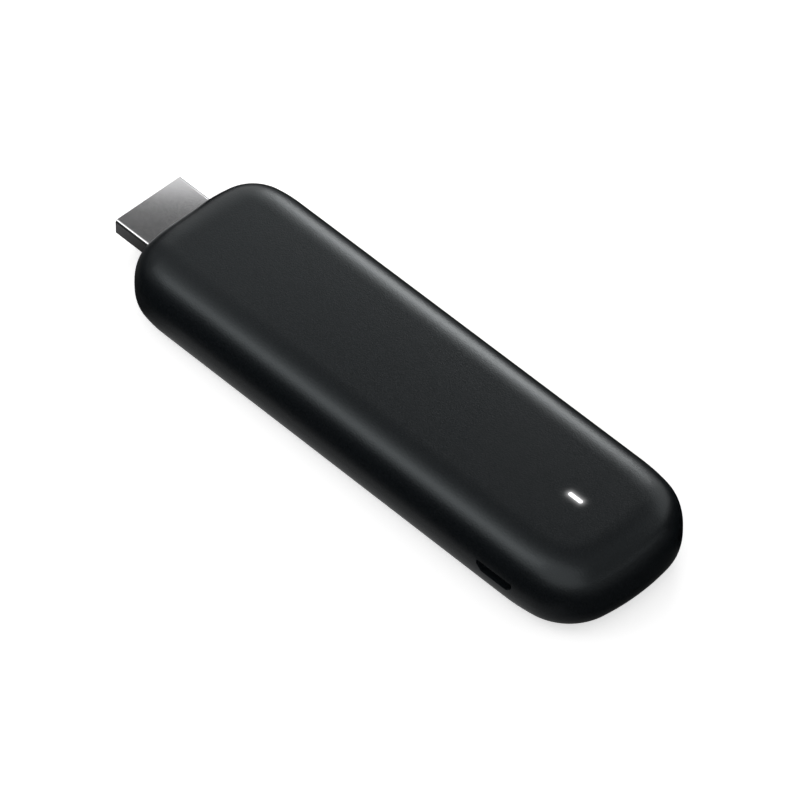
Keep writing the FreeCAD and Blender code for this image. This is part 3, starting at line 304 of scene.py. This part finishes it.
def rounded(outline, radii, steps):
    """A polygon with round corners, of one radius for all or one for each."""
    result = []
    count = len(outline)
    if not isinstance(radii, list):
        radii = [radii] * count
    for index, radius in enumerate(radii):
        before = Vector(outline[index - 1])
        corner = Vector(outline[index])
        after = Vector(outline[(index + 1) % count])
        first = (before - corner).normalized()
        second = (after - corner).normalized()
        half = first.angle(second) / 2
        centre = corner + (first + second).normalized() * (radius / math.sin(half))
        begin = corner + first * (radius / math.tan(half)) - centre
        finish = corner + second * (radius / math.tan(half)) - centre
        for step in range(steps + 1):
            spoke = begin.lerp(finish, step / steps).normalized() * radius
            result.append(tuple(centre + spoke))
    return result


def plug_section(growth):
    """The plug's outline across X, growth outside its shell."""
    lean = math.atan2((PLUG_WIDTH - PLUG_FLOOR) / 2, PLUG_THICKNESS - PLUG_SIDE)
    half_top = PLUG_HIGH.y + growth
    half_floor = PLUG_FLOOR / 2 + growth * math.tan((math.pi / 2 - lean) / 2)
    knee = PLUG_HIGH.z - PLUG_SIDE - growth * math.tan(lean / 2)
    return [
        (-half_floor, PLUG_LOW.z - growth),
        (half_floor, PLUG_LOW.z - growth),
        (half_top, knee),
        (half_top, PLUG_HIGH.z + growth),
        (-half_top, PLUG_HIGH.z + growth),
        (-half_top, knee),
    ]


def port_section():
    """The power port's outline across Y."""
    half_top = PORT_WIDTH / 2
    half_floor = PORT_FLOOR / 2
    roof = PORT_HEIGHT + PORT_RISE / 2
    knee = roof - PORT_SIDE
    floor = PORT_HEIGHT - PORT_RISE / 2
    return [
        (PORT_X - half_floor, floor),
        (PORT_X + half_floor, floor),
        (PORT_X + half_top, knee),
        (PORT_X + half_top, roof),
        (PORT_X - half_top, roof),
        (PORT_X - half_top, knee),
    ]


def lamp_slot():
    """The outline of the lamp's slot: two straight sides and two round ends."""
    radius = LAMP_WIDTH / 2
    points = []
    for side in (1, -1):
        middle = LAMP_X + side * (LAMP_LENGTH / 2 - radius)
        for step in range(SLOT_STEPS + 1):
            angle = side * math.pi / 2 - math.pi * step / SLOT_STEPS
            points.append((middle + radius * math.cos(angle), radius * math.sin(angle)))
    return points


def combine(piece, other, operation):
    """Apply a boolean with another object, which is deleted."""
    modifier = piece.modifiers.new("Combine", "BOOLEAN")
    modifier.operation = operation
    modifier.solver = "EXACT"
    modifier.object = other
    bpy.context.view_layer.update()
    shape = piece.evaluated_get(bpy.context.evaluated_depsgraph_get())
    mesh = bpy.data.meshes.new_from_object(shape)
    piece.modifiers.clear()
    piece.data = mesh
    bpy.data.objects.remove(other)


def smooth_like(piece, clean):
    """Give the faces that lie on the clean skin that skin's own normals, and leave the rest flat."""
    points = [v.co.copy() for v in clean.vertices]
    normals = [n.vector.copy() for n in clean.vertex_normals]
    faces = [tuple(p.vertices) for p in clean.polygons]
    tree = BVHTree.FromPolygons(points, faces)
    mesh = piece.data
    loop_normals = [None] * len(mesh.loops)
    for face in mesh.polygons:
        place, normal, index, gap = tree.find_nearest(face.center)
        on_skin = gap < SKIN_REACH and normal.dot(face.normal) > FACE_AGREES
        for loop in face.loop_indices:
            if not on_skin:
                loop_normals[loop] = face.normal.copy()
                continue
            corner = mesh.vertices[mesh.loops[loop].vertex_index].co
            place, normal, index, gap = tree.find_nearest(corner)
            if normal.dot(face.normal) < CORNER_AGREES:
                loop_normals[loop] = face.normal.copy()
                continue
            ring = faces[index]
            weights = poly_3d_calc([points[i] for i in ring], place)
            total = Vector((0, 0, 0))
            for weight, i in zip(weights, ring):
                total += weight * normals[i]
            loop_normals[loop] = total.normalized()
    mesh.shade_smooth()
    mesh.normals_split_custom_set(loop_normals)


def lower_inset(height):
    """Inset of the skin at a height below the widest level."""
    drop = (WIDEST - height) / LOWER_ROUNDING
    return LOWER_ROUNDING * (1 - (1 - drop ** LOWER_POWER) ** (1 / LOWER_POWER))


def skin_rings():
    """Rings of the whole outer skin, from the flat bottom to the flat top."""
    lower = section_curve(LOWER_ROUNDING, LOWER_POWER, -1)
    return lower[:0:-1] + section_curve(UPPER_ROUNDING, UPPER_POWER, 1)


def upper_rings():
    """Rings of the upper cover's outer skin, from the seam to the flat top."""
    return [(lower_inset(SEAM), SEAM)] + [ring for ring in skin_rings() if ring[1] > SEAM + RING_GAP]


def lower_rings():
    """Rings of the lower cover's outer skin, from the flat bottom to the seam."""
    rim = SEAM - SEAM_GAP
    return [ring for ring in skin_rings() if ring[1] < rim - RING_GAP] + [(lower_inset(rim), rim)]


def cavity(name, low, high, bevel_low, bevel_high):
    """The room inside a cover, one wall inside the outline, with bevelled edges."""
    rings = [(WALL, low), (WALL, high)]
    if bevel_low:
        rings = [(WALL + bevel_low, low), (WALL, low + bevel_low), (WALL, high)]
    if bevel_high:
        rings = [(WALL, low), (WALL, high - bevel_high), (WALL + bevel_high, high)]
    return add_object(name, rings_mesh(name, rings))


def cut_openings(piece):
    """Cut the plug's opening and the power port into a cover."""
    opening = rounded(plug_section(PLUG_GAP), OPENING_CORNER, OPENING_STEPS)
    combine(piece, prism("opening", opening, BODY_START - WALL, BODY_START + 2 * WALL, "X"), "DIFFERENCE")
    port = rounded(port_section(), PORT_CORNERS, OPENING_STEPS)
    combine(piece, prism("port", port, -HALF_WIDTH - WALL, -HALF_WIDTH + PORT_DEPTH, "Y"), "DIFFERENCE")


def make_top_shell(clean):
    """The top cover: a hollow shell with the lamp's slot in its roof."""
    piece = add_object("top_shell", rings_mesh("top_shell", upper_rings()))
    bevel = (TOP_ROUND - WALL) * BEVEL_SHARE
    combine(piece, cavity("room", SEAM - WALL, BODY_HEIGHT - WALL, 0, bevel), "DIFFERENCE")
    cut_openings(piece)
    slot = prism("slot", lamp_slot(), BODY_HEIGHT - 2 * WALL, BODY_HEIGHT + WALL, "Z")
    combine(piece, slot, "DIFFERENCE")
    smooth_like(piece, clean)
    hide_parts("top_cover")
    return piece


def make_bottom_shell(clean):
    """The bottom cover: a hollow dish up to the seam."""
    piece = add_object("bottom_shell", rings_mesh("bottom_shell", lower_rings()))
    bevel = (BOTTOM_ROUND - WALL) * BEVEL_SHARE
    combine(piece, cavity("room", WALL, SEAM + WALL, bevel, 0), "DIFFERENCE")
    cut_openings(piece)
    smooth_like(piece, clean)
    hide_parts("bottom_cover")
    return piece


def loft(name, sections):
    """A closed mesh through sections across X: each is (x, outline), all with as many points."""
    count = len(sections[0][1])
    points = [(x, y, z) for x, outline in sections for y, z in outline]
    faces = [tuple(range(count)), tuple(range((len(sections) - 1) * count, len(sections) * count))]
    for level in range(len(sections) - 1):
        low, high = level * count, (level + 1) * count
        for index in range(count):
            after = (index + 1) % count
            faces.append((low + index, low + after, high + after, high + index))
    mesh = bpy.data.meshes.new(name)
    mesh.from_pydata(points, [], faces)
    fix_normals(mesh)
    return add_object(name, mesh)


def box_piece(name, low, high):
    """A box between two corners in millimetres, to cut or to join with."""
    outline = [(low[0], low[1]), (high[0], low[1]), (high[0], high[1]), (low[0], high[1])]
    return prism(name, [(x * MM, y * MM) for x, y in outline], low[2] * MM, high[2] * MM, "Z")


def plug_ring(growth):
    """The plug's outline with its corners rounded round the same centres."""
    return rounded(plug_section(growth), PLUG_CORNER + growth, CORNER_STEPS)


def make_plug_shell():
    """The plug's folded steel tube: a rounded rim, a seam and two latch windows underneath."""
    tip, rear = PLUG_LOW.x, BODY_START + PLUG_INNER
    sections = []
    for step in range(RIM_STEPS + 1):
        angle = math.pi / 2 * step / RIM_STEPS
        drop = PLUG_RIM * (1 - math.sin(angle))
        sections.append((tip + PLUG_RIM * (1 - math.cos(angle)), plug_ring(-drop)))
    sections.append((rear, plug_ring(0)))
    piece = loft("steel_plug_shell", sections)
    inside = prism("room", plug_ring(-PLUG_SHEET), tip - WALL, rear + WALL, "X")
    combine(piece, inside, "DIFFERENCE")
    start, end = tip / MM, rear / MM
    low, high = PLUG_LOW.z / MM - CUT_BELOW, PLUG_LOW.z / MM + CUT_ABOVE
    seam = box_piece("seam", (start - CUT_PAST, -SEAM_WIDTH / 2, low), (end + CUT_PAST, SEAM_WIDTH / 2, high))
    combine(piece, seam, "DIFFERENCE")
    for side in (-1, 1):
        near, far = side * WINDOW_PLACE - WINDOW_WIDTH / 2, side * WINDOW_PLACE + WINDOW_WIDTH / 2
        window = box_piece("window", (start + WINDOW_START, near, low), (start + WINDOW_END, far, high))
        combine(piece, window, "DIFFERENCE")
    leg_side = PLUG_WIDTH / 2 / MM
    for side in (-1, 1):
        near, far = sorted((side * (leg_side - PLUG_SHEET / MM), side * leg_side))
        leg = box_piece("leg", (end - LEG_START, near, LEG_LOW), (PLUG_HIGH.x / MM, far, LEG_HIGH))
        combine(piece, leg, "UNION")
    piece.data.shade_smooth()
    piece.data.set_sharp_from_angle(angle=SHARP_ANGLE)
    weighted = piece.modifiers.new("Weighted", "WEIGHTED_NORMAL")
    weighted.keep_sharp = True
    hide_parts("plug_shell")
    return piece


# Materials


def new_material(name):
    """A material with one shader, and that shader."""
    material = bpy.data.materials.new(name)
    material.use_nodes = True
    nodes = material.node_tree.nodes
    nodes.clear()
    output = nodes.new("ShaderNodeOutputMaterial")
    shader = nodes.new("ShaderNodeBsdfPrincipled")
    material.node_tree.links.new(shader.outputs["BSDF"], output.inputs["Surface"])
    return material, shader


def noise(tree, size):
    """A noise in object coordinates whose features are about size metres across."""
    place = tree.nodes.new("ShaderNodeTexCoord")
    texture = tree.nodes.new("ShaderNodeTexNoise")
    texture.inputs["Scale"].default_value = 1 / size
    texture.inputs["Detail"].default_value = NOISE_DETAIL
    tree.links.new(place.outputs["Object"], texture.inputs["Vector"])
    return texture.outputs["Fac"]


def map_range(tree, value, start, end, low, high):
    """A number that runs from low to high while a value runs from start to end."""
    node = tree.nodes.new("ShaderNodeMapRange")
    for label, number in zip(("From Min", "From Max", "To Min", "To Max"), (start, end, low, high)):
        node.inputs[label].default_value = number
    tree.links.new(value, node.inputs["Value"])
    return node.outputs["Result"]


def object_axes(tree):
    """A point's object coordinates, by the axis's letter."""
    place = tree.nodes.new("ShaderNodeTexCoord")
    split = tree.nodes.new("ShaderNodeSeparateXYZ")
    tree.links.new(place.outputs["Object"], split.inputs[0])
    return split.outputs


def colours(tree, factor, low, high):
    """Mix two colours by a factor."""
    node = tree.nodes.new("ShaderNodeMix")
    node.data_type = "RGBA"
    node.inputs["A"].default_value = (*low, 1)
    node.inputs["B"].default_value = (*high, 1)
    tree.links.new(factor, node.inputs["Factor"])
    return node.outputs["Result"]


def bump(tree, shader, height, depth):
    """Let a factor raise the surface by up to a depth."""
    node = tree.nodes.new("ShaderNodeBump")
    node.inputs["Distance"].default_value = depth
    node.inputs["Strength"].default_value = BUMP_STRENGTH
    tree.links.new(height, node.inputs["Height"])
    tree.links.new(node.outputs["Normal"], shader.inputs["Normal"])


def plain_material(name, low, high, roughness, grain, metallic=0.0, depth=0.01 * MM):
    """A surface whose colour, gloss and height vary with one grain."""
    material, shader = new_material(name)
    tree = material.node_tree
    factor = noise(tree, grain)
    tree.links.new(colours(tree, factor, low, high), shader.inputs["Base Color"])
    gloss = map_range(tree, factor, 0, 1, roughness - GLOSS_SPREAD, roughness + GLOSS_SPREAD)
    tree.links.new(gloss, shader.inputs["Roughness"])
    shader.inputs["Metallic"].default_value = metallic
    bump(tree, shader, factor, depth)
    return material


def math_node(tree, operation, first, second):
    """A number node: each of its two inputs is a socket or a plain number."""
    node = tree.nodes.new("ShaderNodeMath")
    node.operation = operation
    for index, value in enumerate((first, second)):
        if isinstance(value, (int, float)):
            node.inputs[index].default_value = value
        else:
            tree.links.new(value, node.inputs[index])
    return node.outputs[0]


def lamp_distance(tree):
    """How far a point is from the lamp's middle line."""
    axes = object_axes(tree)
    along = math_node(tree, "ABSOLUTE", math_node(tree, "SUBTRACT", axes["X"], LAMP_X), 0.0)
    past_end = math_node(tree, "SUBTRACT", along, (LAMP_LENGTH - LAMP_WIDTH) / 2)
    beyond = math_node(tree, "MAXIMUM", past_end, 0.0)
    above = math_node(tree, "SUBTRACT", axes["Z"], BODY_HEIGHT)
    away = tree.nodes.new("ShaderNodeCombineXYZ")
    for axis, value in zip("XYZ", (beyond, axes["Y"], above)):
        tree.links.new(value, away.inputs[axis])
    length = tree.nodes.new("ShaderNodeVectorMath")
    length.operation = "LENGTH"
    tree.links.new(away.outputs[0], length.inputs[0])
    return length.outputs["Value"]


def painted_lamp_glow(tree):
    """Painted glow on the housing that fades away round the lamp's slot, as a number that is 1 at its edge.
    """
    outside = math_node(tree, "SUBTRACT", lamp_distance(tree), LAMP_WIDTH / 2)
    return math_node(tree, "EXPONENT", math_node(tree, "DIVIDE", outside, -PAINTED_GLOW_REACH), 0.0)


def housing_material():
    """Matt, slightly cool black plastic, with a glow painted round the lamp's slot by its emission."""
    material = plain_material(
        "matt_plastic", (0.0002, 0.0014, 0.0024), (0.0082, 0.0098, 0.0116), 0.33, 0.24 * MM, depth=0.05 * MM
    )
    tree = material.node_tree
    shader = tree.nodes["Principled BSDF"]
    shader.inputs["Specular Tint"].default_value = (0.90, 0.975, 1.0, 1)
    # The housing's emission paints the lamp's glow round the slot, though the housing is no lamp
    light = colours(tree, painted_lamp_glow(tree), (0, 0, 0), (PAINTED_GLOW_LIGHT, PAINTED_GLOW_LIGHT, PAINTED_GLOW_LIGHT))
    tree.links.new(light, shader.inputs["Emission Color"])
    shader.inputs["Emission Strength"].default_value = 1.0
    return material


def lamp_material():
    """The light pipe: its tip glows white along a core, and the rest glows faintly."""
    material, shader = new_material("glowing_plastic")
    tree = material.node_tree
    shade = colours(tree, noise(tree, 0.5 * MM), (0.85, 0.87, 0.9), (0.95, 0.95, 0.97))
    tree.links.new(shade, shader.inputs["Base Color"])
    shader.inputs["Roughness"].default_value = 0.3
    edge = CORE_WIDTH / 2
    glow = map_range(tree, lamp_distance(tree), edge - CORE_BLUR, edge + CORE_BLUR, CORE_GLOW, RIM_GLOW)
    shader.inputs["Emission Color"].default_value = (1, 1, 1, 1)
    tree.links.new(glow, shader.inputs["Emission Strength"])
    return material


# Slots with a plain surface: the material's name, its two colours, roughness and grain in millimetres
METALS = {
    "shield": ("tinned_steel", (0.55, 0.56, 0.57), (0.66, 0.66, 0.67), 0.35, 0.3),
    "contact_gold": ("gold_plate", (0.80, 0.58, 0.24), (0.88, 0.66, 0.30), 0.25, 0.1),
    "spreader": ("aluminium", (0.70, 0.70, 0.71), (0.80, 0.80, 0.81), 0.4, 0.4),
    "crystal": ("crystal_can", (0.62, 0.62, 0.60), (0.72, 0.71, 0.69), 0.3, 0.2),
    "antenna": ("antenna_plate", (0.70, 0.66, 0.52), (0.80, 0.75, 0.60), 0.35, 0.2),
}
DIELECTRICS = {
    "insulator": ("black_resin", (0.010, 0.010, 0.011), (0.018, 0.018, 0.019), 0.5, 0.2),
    "circuit_board": ("solder_mask", (0.006, 0.045, 0.028), (0.010, 0.065, 0.040), 0.4, 0.8),
    "chip": ("chip_resin", (0.018, 0.018, 0.019), (0.030, 0.030, 0.032), 0.6, 0.15),
    "coil": ("ferrite", (0.045, 0.045, 0.048), (0.075, 0.075, 0.078), 0.7, 0.1),
    "ceramic": ("ceramic", (0.40, 0.30, 0.20), (0.50, 0.38, 0.27), 0.5, 0.1),
    "thermal_pad": ("silicone_pad", (0.35, 0.42, 0.52), (0.42, 0.49, 0.60), 0.8, 0.15),
    "lamp": ("lamp_body", (0.75, 0.74, 0.68), (0.85, 0.84, 0.78), 0.4, 0.2),
}


def slot_materials():
    """The material of each slot."""
    steel = plain_material(
        "nickel_steel", (0.72, 0.72, 0.73), (0.78, 0.78, 0.79), 0.13, 0.2 * MM, metallic=1.0, depth=0.001 * MM
    )
    materials = {"housing": housing_material(), "steel": steel, "clear_plastic": lamp_material()}
    for table, metallic in ((METALS, 1.0), (DIELECTRICS, 0.0)):
        for slot, (name, low, high, roughness, grain) in table.items():
            materials[slot] = plain_material(name, low, high, roughness, grain * MM, metallic)
    return materials


def set_material(piece, material):
    """Give a piece one material."""
    piece.data.materials.clear()
    piece.data.materials.append(material)


# Studio


def look_from(piece, place, target):
    """Put a lamp at a place, facing the target."""
    piece.location = place
    piece.rotation_euler = (Vector(target) - Vector(place)).to_track_quat("-Z", "Y").to_euler()


def soft_box(name, place, target, width, height, brightness):
    """A rectangular lamp whose face has the given brightness."""
    lamp = bpy.data.lights.new(name, "AREA")
    lamp.shape = "RECTANGLE"
    lamp.size = width
    lamp.size_y = height
    lamp.energy = brightness * math.pi * width * height
    piece = bpy.data.objects.new(name, lamp)
    bpy.context.scene.collection.objects.link(piece)
    look_from(piece, place, target)
    piece.visible_camera = False


def light_path_mix(tree):
    """A factor that is 1 for rays from the camera, from gloss and through glass."""
    path = tree.nodes.new("ShaderNodeLightPath").outputs
    seen = math_node(tree, "MAXIMUM", path["Is Camera Ray"], path["Is Glossy Ray"])
    return math_node(tree, "MAXIMUM", seen, path["Is Transmission Ray"])


def make_world(plain):
    """White to the camera and in reflections, and a plain soft light for the rest."""
    world = bpy.data.worlds.new("studio")
    bpy.context.scene.world = world
    world.use_nodes = True
    tree = world.node_tree
    background = tree.nodes["Background"]
    background.inputs["Color"].default_value = (1, 1, 1, 1)
    strength = map_range(tree, light_path_mix(tree), 0, 1, plain, 1.0)
    tree.links.new(strength, background.inputs["Strength"])


def make_floor(lift):
    """A white floor that keeps the object's shadow, and is clear when it is seen from below."""
    half = FLOOR_HALF
    corners = [(-half, -half, 0), (half, -half, 0), (half, half, 0), (-half, half, 0)]
    mesh = bpy.data.meshes.new("floor")
    mesh.from_pydata(corners, [], [(0, 1, 2, 3)])
    floor = add_object("floor", mesh)
    floor.location.z = -FLOOR_DROP
    material, shader = new_material("floor_paint")
    shader.inputs["Base Color"].default_value = (0.85, 0.85, 0.85, 1)
    shader.inputs["Roughness"].default_value = 0.9
    shader.inputs["Specular IOR Level"].default_value = 0.0
    shader.inputs["Emission Color"].default_value = (1, 1, 1, 1)
    tree = material.node_tree
    glow = math_node(tree, "MULTIPLY", light_path_mix(tree), lift)
    tree.links.new(glow, shader.inputs["Emission Strength"])
    side = tree.nodes.new("ShaderNodeNewGeometry")
    clear = tree.nodes.new("ShaderNodeBsdfTransparent")
    mix = tree.nodes.new("ShaderNodeMixShader")
    tree.links.new(side.outputs["Backfacing"], mix.inputs["Fac"])
    tree.links.new(shader.outputs["BSDF"], mix.inputs[1])
    tree.links.new(clear.outputs["BSDF"], mix.inputs[2])
    tree.links.new(mix.outputs[0], tree.nodes["Material Output"].inputs["Surface"])
    mesh.materials.append(material)


def card(name, corners, material):
    """A card that only reflections show: its corners are in millimetres."""
    points = [tuple(MM * size for size in corner) for corner in corners]
    mesh = bpy.data.meshes.new(name)
    mesh.from_pydata(points, [], [tuple(range(len(points)))])
    mesh.materials.append(material)
    piece = add_object(name, mesh)
    piece.visible_camera = False
    piece.visible_diffuse = False
    piece.visible_transmission = False
    piece.visible_shadow = False


def slope(tree, axes, axis, start, end, low, high):
    """A number that runs from low to high between two places along an axis, in millimetres."""
    return map_range(tree, axes[axis], start * MM, end * MM, low, high)


def card_paint(name, tone, slopes=()):
    """A card's paint: its tone shows in gloss alone, and slopes fade it along an axis."""
    material, shader = new_material(name)
    shader.inputs["Base Color"].default_value = (0, 0, 0, 1)
    shader.inputs["Roughness"].default_value = 1.0
    shader.inputs["Specular IOR Level"].default_value = 0.0
    shader.inputs["Emission Color"].default_value = (1, 1, 1, 1)
    shader.inputs["Emission Strength"].default_value = tone
    if slopes:
        tree = material.node_tree
        axes = object_axes(tree)
        share = tone
        for values in slopes:
            share = math_node(tree, "MULTIPLY", share, slope(tree, axes, *values))
        tree.links.new(share, shader.inputs["Emission Strength"])
    return material


def roof_paint():
    """The roof's paint: it fades towards the far side, and each end has a tone of its own."""
    material = card_paint("roof_paint", 1.0)
    tree = material.node_tree
    axes = object_axes(tree)
    across = slope(tree, axes, "Y", -18, 30, ROOF_TONE, 0)
    middle = math_node(tree, "MULTIPLY", across, slope(tree, axes, "X", 25, 60, 1, 0))
    lamp_end = slope(tree, axes, "X", 25, 60, 0, LAMP_END_TONE)
    plug_end = slope(tree, axes, "X", -85, -50, PLUG_END_TONE, 0)
    rise = slope(tree, axes, "X", -94, -82, 0, PLUG_TOP_TONE)
    plug_top = math_node(tree, "MULTIPLY", rise, slope(tree, axes, "X", -82, -54, 1, 0))
    ends = math_node(tree, "ADD", lamp_end, math_node(tree, "ADD", plug_end, plug_top))
    share = math_node(tree, "ADD", middle, ends)
    tree.links.new(share, tree.nodes["Principled BSDF"].inputs["Emission Strength"])
    return material


def near_paint():
    """The near card's paint: a little lighter beside the plug and towards the lamp's end."""
    material = card_paint("near_paint", 1.0)
    tree = material.node_tree
    axes = object_axes(tree)
    plug_side = slope(tree, axes, "X", -210, -150, 0.04, 0)
    lamp_side = slope(tree, axes, "X", -60, 140, 0.01, 0.22)
    share = math_node(tree, "ADD", plug_side, lamp_side)
    tree.links.new(share, tree.nodes["Principled BSDF"].inputs["Emission Strength"])
    return material


def make_cards():
    """Dark cards round the set, which give a black object its edges in a white room."""
    black = card_paint("black_card", BLACK_TONE)
    near = near_paint()
    end = card_paint("end_paint", END_CARD_TONE)
    side = card_paint("side_paint", 1.0, [("Z", 20, 100, 0.01, 0.25)])
    foot = card_paint("foot_paint", FOOT_TONE, [
        ("Y", -20.6, -18.0, 0, 1),
        ("Y", 12, 14, 1, 0),
        ("X", -60, -51, 4, 1),
        ("X", -43, -34, 0.07, 1),
        ("X", 42, 56, 1, 0.03),
    ])
    beyond = card_paint("beyond_paint", BEYOND_TONE, [("X", 66, 95, 0, 1), ("Y", 10, 60, 1, 0.1)])
    roof_outline = [
        (-215, -18), (90, -18), (130, -42), (SET_END, -125), (SET_END, 200), (100, 92), (60, 71), (15, 76),
        (-5, 99), (-25, 99), (-60, 70), (-95, 60), (-118, 40.5), (-150, 32), (-215, 10),
    ]
    card("roof_card", [(x, y, ROOF_LEVEL) for x, y in roof_outline], roof_paint())
    floor_outline = [(SET_START, SET_NEAR), (SET_END, SET_NEAR), (SET_END, SET_FAR), (SET_START, SET_FAR)]
    card("floor_card", [(x, y, FOOT_LEVEL) for x, y in floor_outline], foot)
    beyond_outline = [(66, -80), (SET_END, -80), (SET_END, 80), (66, 80)]
    card("beyond_card", [(x, y, BEYOND_LEVEL) for x, y in beyond_outline], beyond)
    near_outline = [
        (SET_START, 0), (SET_END, 0), (SET_END, 40), (140, 80), (0, 130),
        (-160, 165), (-235, 172), (-250, 300), (SET_START, 300),
    ]
    card("near_card", [(x, SET_NEAR, z) for x, z in near_outline], near)
    plug_outline = [(SET_NEAR, 0), (130, 0), (130, 300), (-80, 300), (SET_NEAR, 200)]
    card("plug_card", [(SET_START, y, z) for y, z in plug_outline], side)
    end_outline = [(SET_NEAR, 0), (SET_FAR, 0), (SET_FAR, 60), (SET_NEAR, 60)]
    card("end_card", [(SET_END, y, z) for y, z in end_outline], end)
    far_outline = [(SET_START, 0), (SET_END, 0), (SET_END, 250), (20, 54), (SET_START, 54)]
    card("far_card", [(x, SET_FAR, z) for x, z in far_outline], black)


def make_camera():
    """The photograph's camera: where it stands, how it turns and its long lens."""
    right = Vector((math.cos(AZIMUTH), math.sin(AZIMUTH), 0))
    back = Vector((
        math.sin(AZIMUTH) * math.cos(ELEVATION),
        -math.cos(AZIMUTH) * math.cos(ELEVATION),
        math.sin(ELEVATION),
    ))
    up = back.cross(right)
    lens = bpy.data.cameras.new("camera")
    lens.sensor_width = SENSOR
    lens.sensor_fit = "HORIZONTAL"
    lens.lens = SENSOR * FOCAL_PIXELS / IMAGE_PIXELS
    lens.clip_start = 0.01
    lens.clip_end = 20.0
    camera = bpy.data.objects.new("camera", lens)
    bpy.context.scene.collection.objects.link(camera)
    place = AIM - AIM_RIGHT * right - AIM_UP * up + DISTANCE * back
    turn = Matrix((right, up, back)).transposed().to_4x4()
    camera.matrix_world = Matrix.Translation(place) @ turn
    bpy.context.scene.camera = camera


make_camera()
make_world(WORLD_LIGHT)
make_floor(FLOOR_LIFT)
make_cards()
for name, place, target, width, height, brightness in SOFT_BOXES:
    soft_box(name, Vector(place) * MM, Vector(target) * MM, width, height, brightness)

MATERIALS = slot_materials()
clean_skin = rings_mesh("clean_skin", skin_rings())
top = make_top_shell(clean_skin)
bottom = make_bottom_shell(clean_skin)
plug = make_plug_shell()
for shell, slot in ((top, "housing"), (bottom, "housing"), (plug, "steel")):
    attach(shell, "root")
    set_material(shell, MATERIALS[slot])

SLOTS = {
    "plug_shell": "steel",
    "usb_socket_shell": "steel",
    "plug_insulator": "insulator",
    "usb_socket_insulator": "insulator",
    "plug_upper_contacts": "contact_gold",
    "plug_lower_contacts": "contact_gold",
    "usb_socket_contacts": "contact_gold",
    "main_board": "circuit_board",
    "wifi_board": "circuit_board",
    "processor_chip": "chip",
    "memory_chips": "chip",
    "storage_chip": "chip",
    "surge_protectors": "chip",
    "power_chip": "chip",
    "clock_crystal": "crystal",
    "power_coils": "coil",
    "top_capacitors": "ceramic",
    "bottom_capacitors": "ceramic",
    "wifi_can": "shield",
    "shield_frame": "shield",
    "shield_lid": "shield",
    "lower_shield_can": "shield",
    "near_antenna": "antenna",
    "far_antenna": "antenna",
    "processor_thermal_pad": "thermal_pad",
    "upper_thermal_pad": "thermal_pad",
    "storage_thermal_pad": "thermal_pad",
    "lower_thermal_pad": "thermal_pad",
    "upper_heat_spreader": "spreader",
    "lower_heat_spreader": "spreader",
    "light_pipe": "clear_plastic",
    "status_lamp": "lamp",
    "top_cover": "housing",
    "bottom_cover": "housing",
}
for name, slot in SLOTS.items():
    set_material(NODES[name], MATERIALS[slot])

bpy.context.scene.view_settings.view_transform = "Standard"
